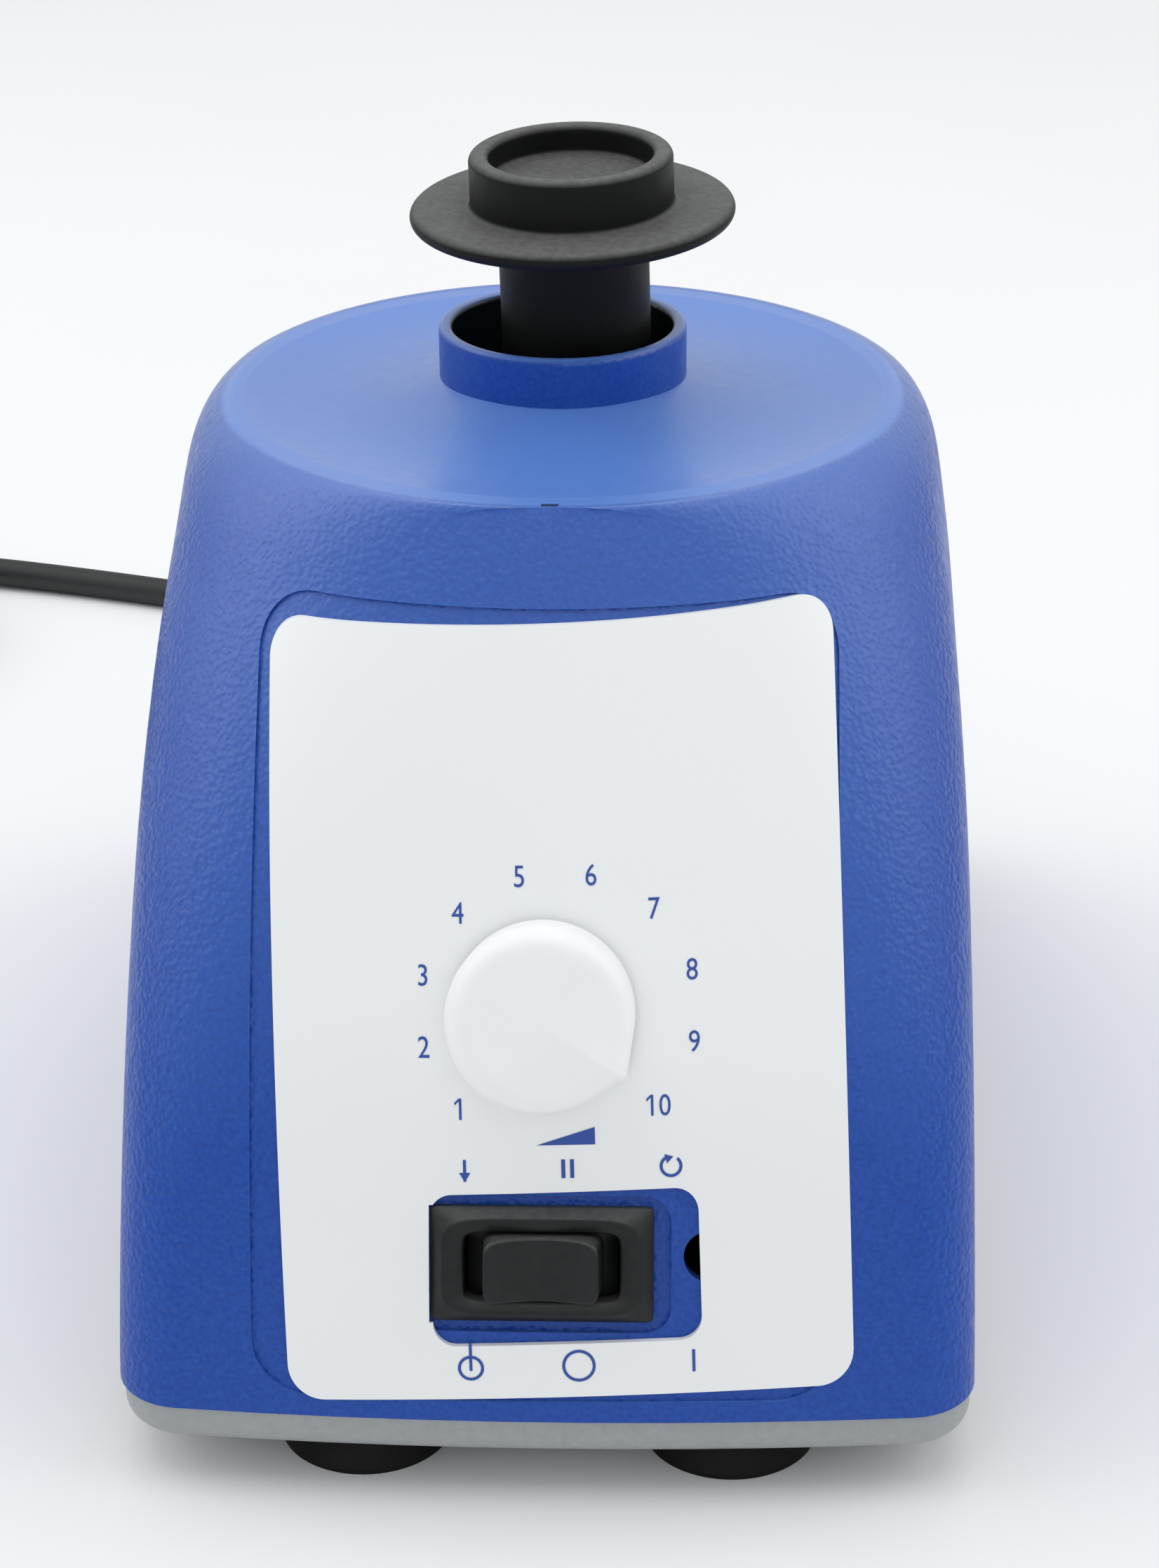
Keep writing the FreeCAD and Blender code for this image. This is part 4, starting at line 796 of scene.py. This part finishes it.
def housing_paint():
    """Blue paint with fine bumps, painted light where it looks up and in the dish, calm on the roof,
    painted shade in the bore.
    """
    finish, tree, shader, place = new_finish("housing_paint")
    look = ramp(tree, noise(tree, place, PAINT_PATCH, PATCH_DETAIL), PAINT_DEEP, PAINT_BLUE)
    # Painted light: faces that look up are blended toward the lighter blue.
    look = blend_colours(tree, product(tree, facing_up(tree, *PAINTED_LIGHT_FACING), PAINTED_LIGHT_SHARE), look, PAINTED_LIGHT_BLUE)
    roof = within(tree, place, DISH_RADIUS, DISH_SOFT, DISH_SHIFT)
    # Painted light and reflection: the dish is laid in the lighter blue.
    dish_painted_light = product(tree, roof, facing_up(tree, *DISH_PAINTED_LIGHT_FACING))
    look = blend_colours(tree, dish_painted_light, look, PAINTED_LIGHT_BLUE)
    # Painted shade: the bore inside the collar is laid near-black.
    look = blend_colours(tree, within(tree, place, BORE_RADIUS, BORE_SOFT), look, BORE_PAINTED_SHADE)
    tree.links.new(look, shader.inputs["Base Color"])
    gloss = ramp(tree, noise(tree, place, GLOSS_PATCH), GLOSS_LOW, GLOSS_HIGH)
    tree.links.new(gloss, shader.inputs["Roughness"])
    tree.links.new(facing_up(tree, *COAT_FACING), shader.inputs["Coat Weight"])
    shader.inputs["Coat Roughness"].default_value = COAT_ROUGH
    shader.inputs["Coat IOR"].default_value = COAT_BEND
    calm = tree.nodes.new("ShaderNodeMapRange")
    calm.inputs["To Min"].default_value = 1.0
    calm.inputs["To Max"].default_value = GRAIN_CALM
    tree.links.new(roof, calm.inputs["Value"])
    cells = tree.nodes.new("ShaderNodeTexVoronoi")
    cells.feature = "SMOOTH_F1"
    cells.inputs["Scale"].default_value = 1.0 / GRAIN_CELL
    tree.links.new(place, cells.inputs["Vector"])
    grain = product(tree, cells.outputs["Distance"], calm.outputs["Result"])
    raise_grain(tree, shader, grain, GRAIN_DEPTH)
    shader.inputs["Specular IOR Level"].default_value = PAINT_SPECULAR
    return finish


paint = housing_paint()
print("mixed", paint.name)

# %% [markdown]
# ## Which piece has which finish
# The outer pieces get finishes matched to the picture. The inner ones get what such parts are made of.

# %% Dress the pieces
FINISHES = {
    paint: ["housing_shell"],
    plain_finish("rim_ink", (0.008, 0.02, 0.09), 0.5, wander=0.03, depth=0.0): ["rim_mark"],
    plain_finish("tray_grey", (0.34, 0.36, 0.365), 0.42, wander=0.06, patch=1.2, depth=0.015): [
        "base_plate"],
    plain_finish("panel_ink", (0.016, 0.07, 0.35), 0.4, wander=0.03, depth=0.0): [
        "dial_numbers", "panel_marks"],
    plain_finish("foot_rubber", (0.006, 0.006, 0.006), 0.62, depth=0.03, specular=0.2): [
        "foot_rear_left", "foot_rear_right", "foot_front_left", "foot_front_right", "isolators"],
    # The cup's up-facing faces get dust and painted sheen.
    plain_finish("cup_rubber", (0.005, 0.0055, 0.0055), 0.5, depth=0.02, dust_and_sheen=0.22, specular=0.16): [
        "rubber_cup"],
    plain_finish("boot_rubber", (0.02, 0.02, 0.021), 0.55, depth=0.03): ["strain_relief", "plug_body"],
    plain_finish("lead_jacket", (0.022, 0.023, 0.023), 0.45, depth=0.02, patch=3.0, specular=0.4): [
        "mains_lead"],
    plain_finish("tie_strap", (0.05, 0.05, 0.055), 0.8, grain=0.5, depth=0.08): ["cord_tie"],
    plain_finish("label_film", (0.89, 0.91, 0.91), 0.3, wander=0.004, patch=30.0, depth=0.001,
                 uneven=0.01): ["front_label"],
    plain_finish("knob_white", (0.9, 0.905, 0.905), 0.36, wander=0.008, patch=8.0, depth=0.002,
                 uneven=0.02): ["knob_cap"],
    # The switch's up-facing faces get dust and painted sheen.
    plain_finish("switch_black", (0.011, 0.012, 0.0125), 0.4, wander=0.2, patch=1.5, depth=0.012, dust_and_sheen=0.12,
                 specular=0.28): ["rocker_bezel", "rocker_paddle"],
    plain_finish("case_black", (0.02, 0.02, 0.021), 0.5): [
        "terminal_block", "plunger_guide", "touch_switch", "cooling_fan"],
    plain_finish("button_red", (0.42, 0.03, 0.02), 0.3, wander=0.05): ["touch_button"],
    plain_finish("bright_steel", (0.58, 0.58, 0.59), 0.3, 1.0, 0.1, 2.0): [
        "foot_screws", "base_screws", "board_screws", "mount_screws", "motor_bolts", "pot_nut", "pot_shaft",
        "motor_plate", "motor_shaft", "hub_set_screw", "bearing_outer", "bearing_inner", "head_spindle",
        "thrust_plunger"],
    plain_finish("core_iron", (0.16, 0.16, 0.17), 0.5, 1.0, 0.2, 1.5): [
        "stator_core", "rotor_core", "counterweight"],
    plain_finish("cast_alloy", (0.56, 0.57, 0.58), 0.45, 1.0, 0.12, 3.0, 0.6, 0.05): [
        "upper_bell", "lower_bell", "eccentric_hub", "heat_sink"],
    plain_finish("wire_copper", (0.55, 0.22, 0.08), 0.3, 1.0, 0.15, 1.0, 0.7, 0.2): ["windings"],
    plain_finish("plain_brass", (0.62, 0.44, 0.16), 0.28, 1.0, 0.08, 2.0): [
        "bushes", "switch_terminals", "plug_blades"],
    plain_finish("board_green", (0.02, 0.13, 0.05), 0.35, wander=0.2, patch=3.0): ["control_board"],
    plain_finish("case_blue", (0.03, 0.04, 0.09), 0.4): ["pot_body", "filter_capacitor"],
}


def dress(obj, finish):
    """Gives an object one material in place of what it had."""
    obj.data.materials.clear()
    obj.data.materials.append(finish)


made = {piece.name: piece for piece in (lead, dial, panel_marks, rim_mark, paddle, bezel, knob, cup)}
dressed = 0
for finish, names in FINISHES.items():
    for name in names:
        dress(made.get(name) or nodes[name], finish)
        dressed += 1
print("dressed", dressed)

# %% [markdown]
# ## Floor and light
# The object stands on a pale sheet under soft light from above and both sides, with a weak fill from the
# front. The colours are shown without a film curve, so that they compare with the picture.

# %% Set the stage
FLOOR_SIZE = 8.0
FLOOR_STEPS = 4
ROOF_MIDDLE = (0.0, 0.0, 0.1)
BODY_MIDDLE = (0.0, 0.0, 0.08)
ROOM_TINT = (0.96, 0.98, 1.0, 1.0)
ROOM_STRENGTH = 0.64


def grid_sheet(name, size, steps):
    """Flat square grid of the given size in metres, centred on the origin."""
    side = np.linspace(-size / 2, size / 2, steps + 1)
    x, y = np.meshgrid(side, side)
    verts = np.stack([x.ravel(), y.ravel(), np.zeros(x.size)], axis=1)
    k = np.arange(steps)
    corner = (k[:, None] * (steps + 1) + k[None, :]).ravel()
    faces = np.stack([corner, corner + 1, corner + steps + 2, corner + steps + 1], axis=1)
    mesh = bpy.data.meshes.new(name)
    mesh.from_pydata(verts.tolist(), [], faces.tolist())
    sheet = bpy.data.objects.new(name, mesh)
    bpy.context.collection.objects.link(sheet)
    return sheet


floor = grid_sheet("floor", FLOOR_SIZE, FLOOR_STEPS)
dress(floor, plain_finish("pale_sheet", (0.9, 0.9, 0.9), 0.9, wander=0.005, patch=200.0, depth=0.0))


def soft_light(name, place, aim, size, power):
    """Square area light that looks at a point."""
    lamp = bpy.data.lights.new(name, "AREA")
    lamp.size = size
    lamp.energy = power
    light = bpy.data.objects.new(name, lamp)
    bpy.context.collection.objects.link(light)
    light.location = place
    light.rotation_euler = (Vector(aim) - Vector(place)).to_track_quat("-Z", "Y").to_euler()


soft_light("overhead", place=(-0.1, 0.2, 1.5), aim=ROOF_MIDDLE, size=1.6, power=8.0)
soft_light("left_wall", place=(-1.2, 0.1, 0.9), aim=BODY_MIDDLE, size=1.0, power=4.0)
soft_light("right_wall", place=(1.2, 0.1, 0.9), aim=BODY_MIDDLE, size=1.0, power=4.0)
soft_light("front_fill", place=(0.3, -1.8, 0.9), aim=BODY_MIDDLE, size=1.2, power=2.0)
room = bpy.data.worlds.new("room")
room.use_nodes = True
background = room.node_tree.nodes["Background"]
background.inputs["Color"].default_value = ROOM_TINT
background.inputs["Strength"].default_value = ROOM_STRENGTH
bpy.context.scene.world = room
bpy.context.scene.view_settings.view_transform = "Standard"

# %% [markdown]
# The dressed part keeps the size of the solid model.

# %% Update the scene
bpy.context.view_layer.update()
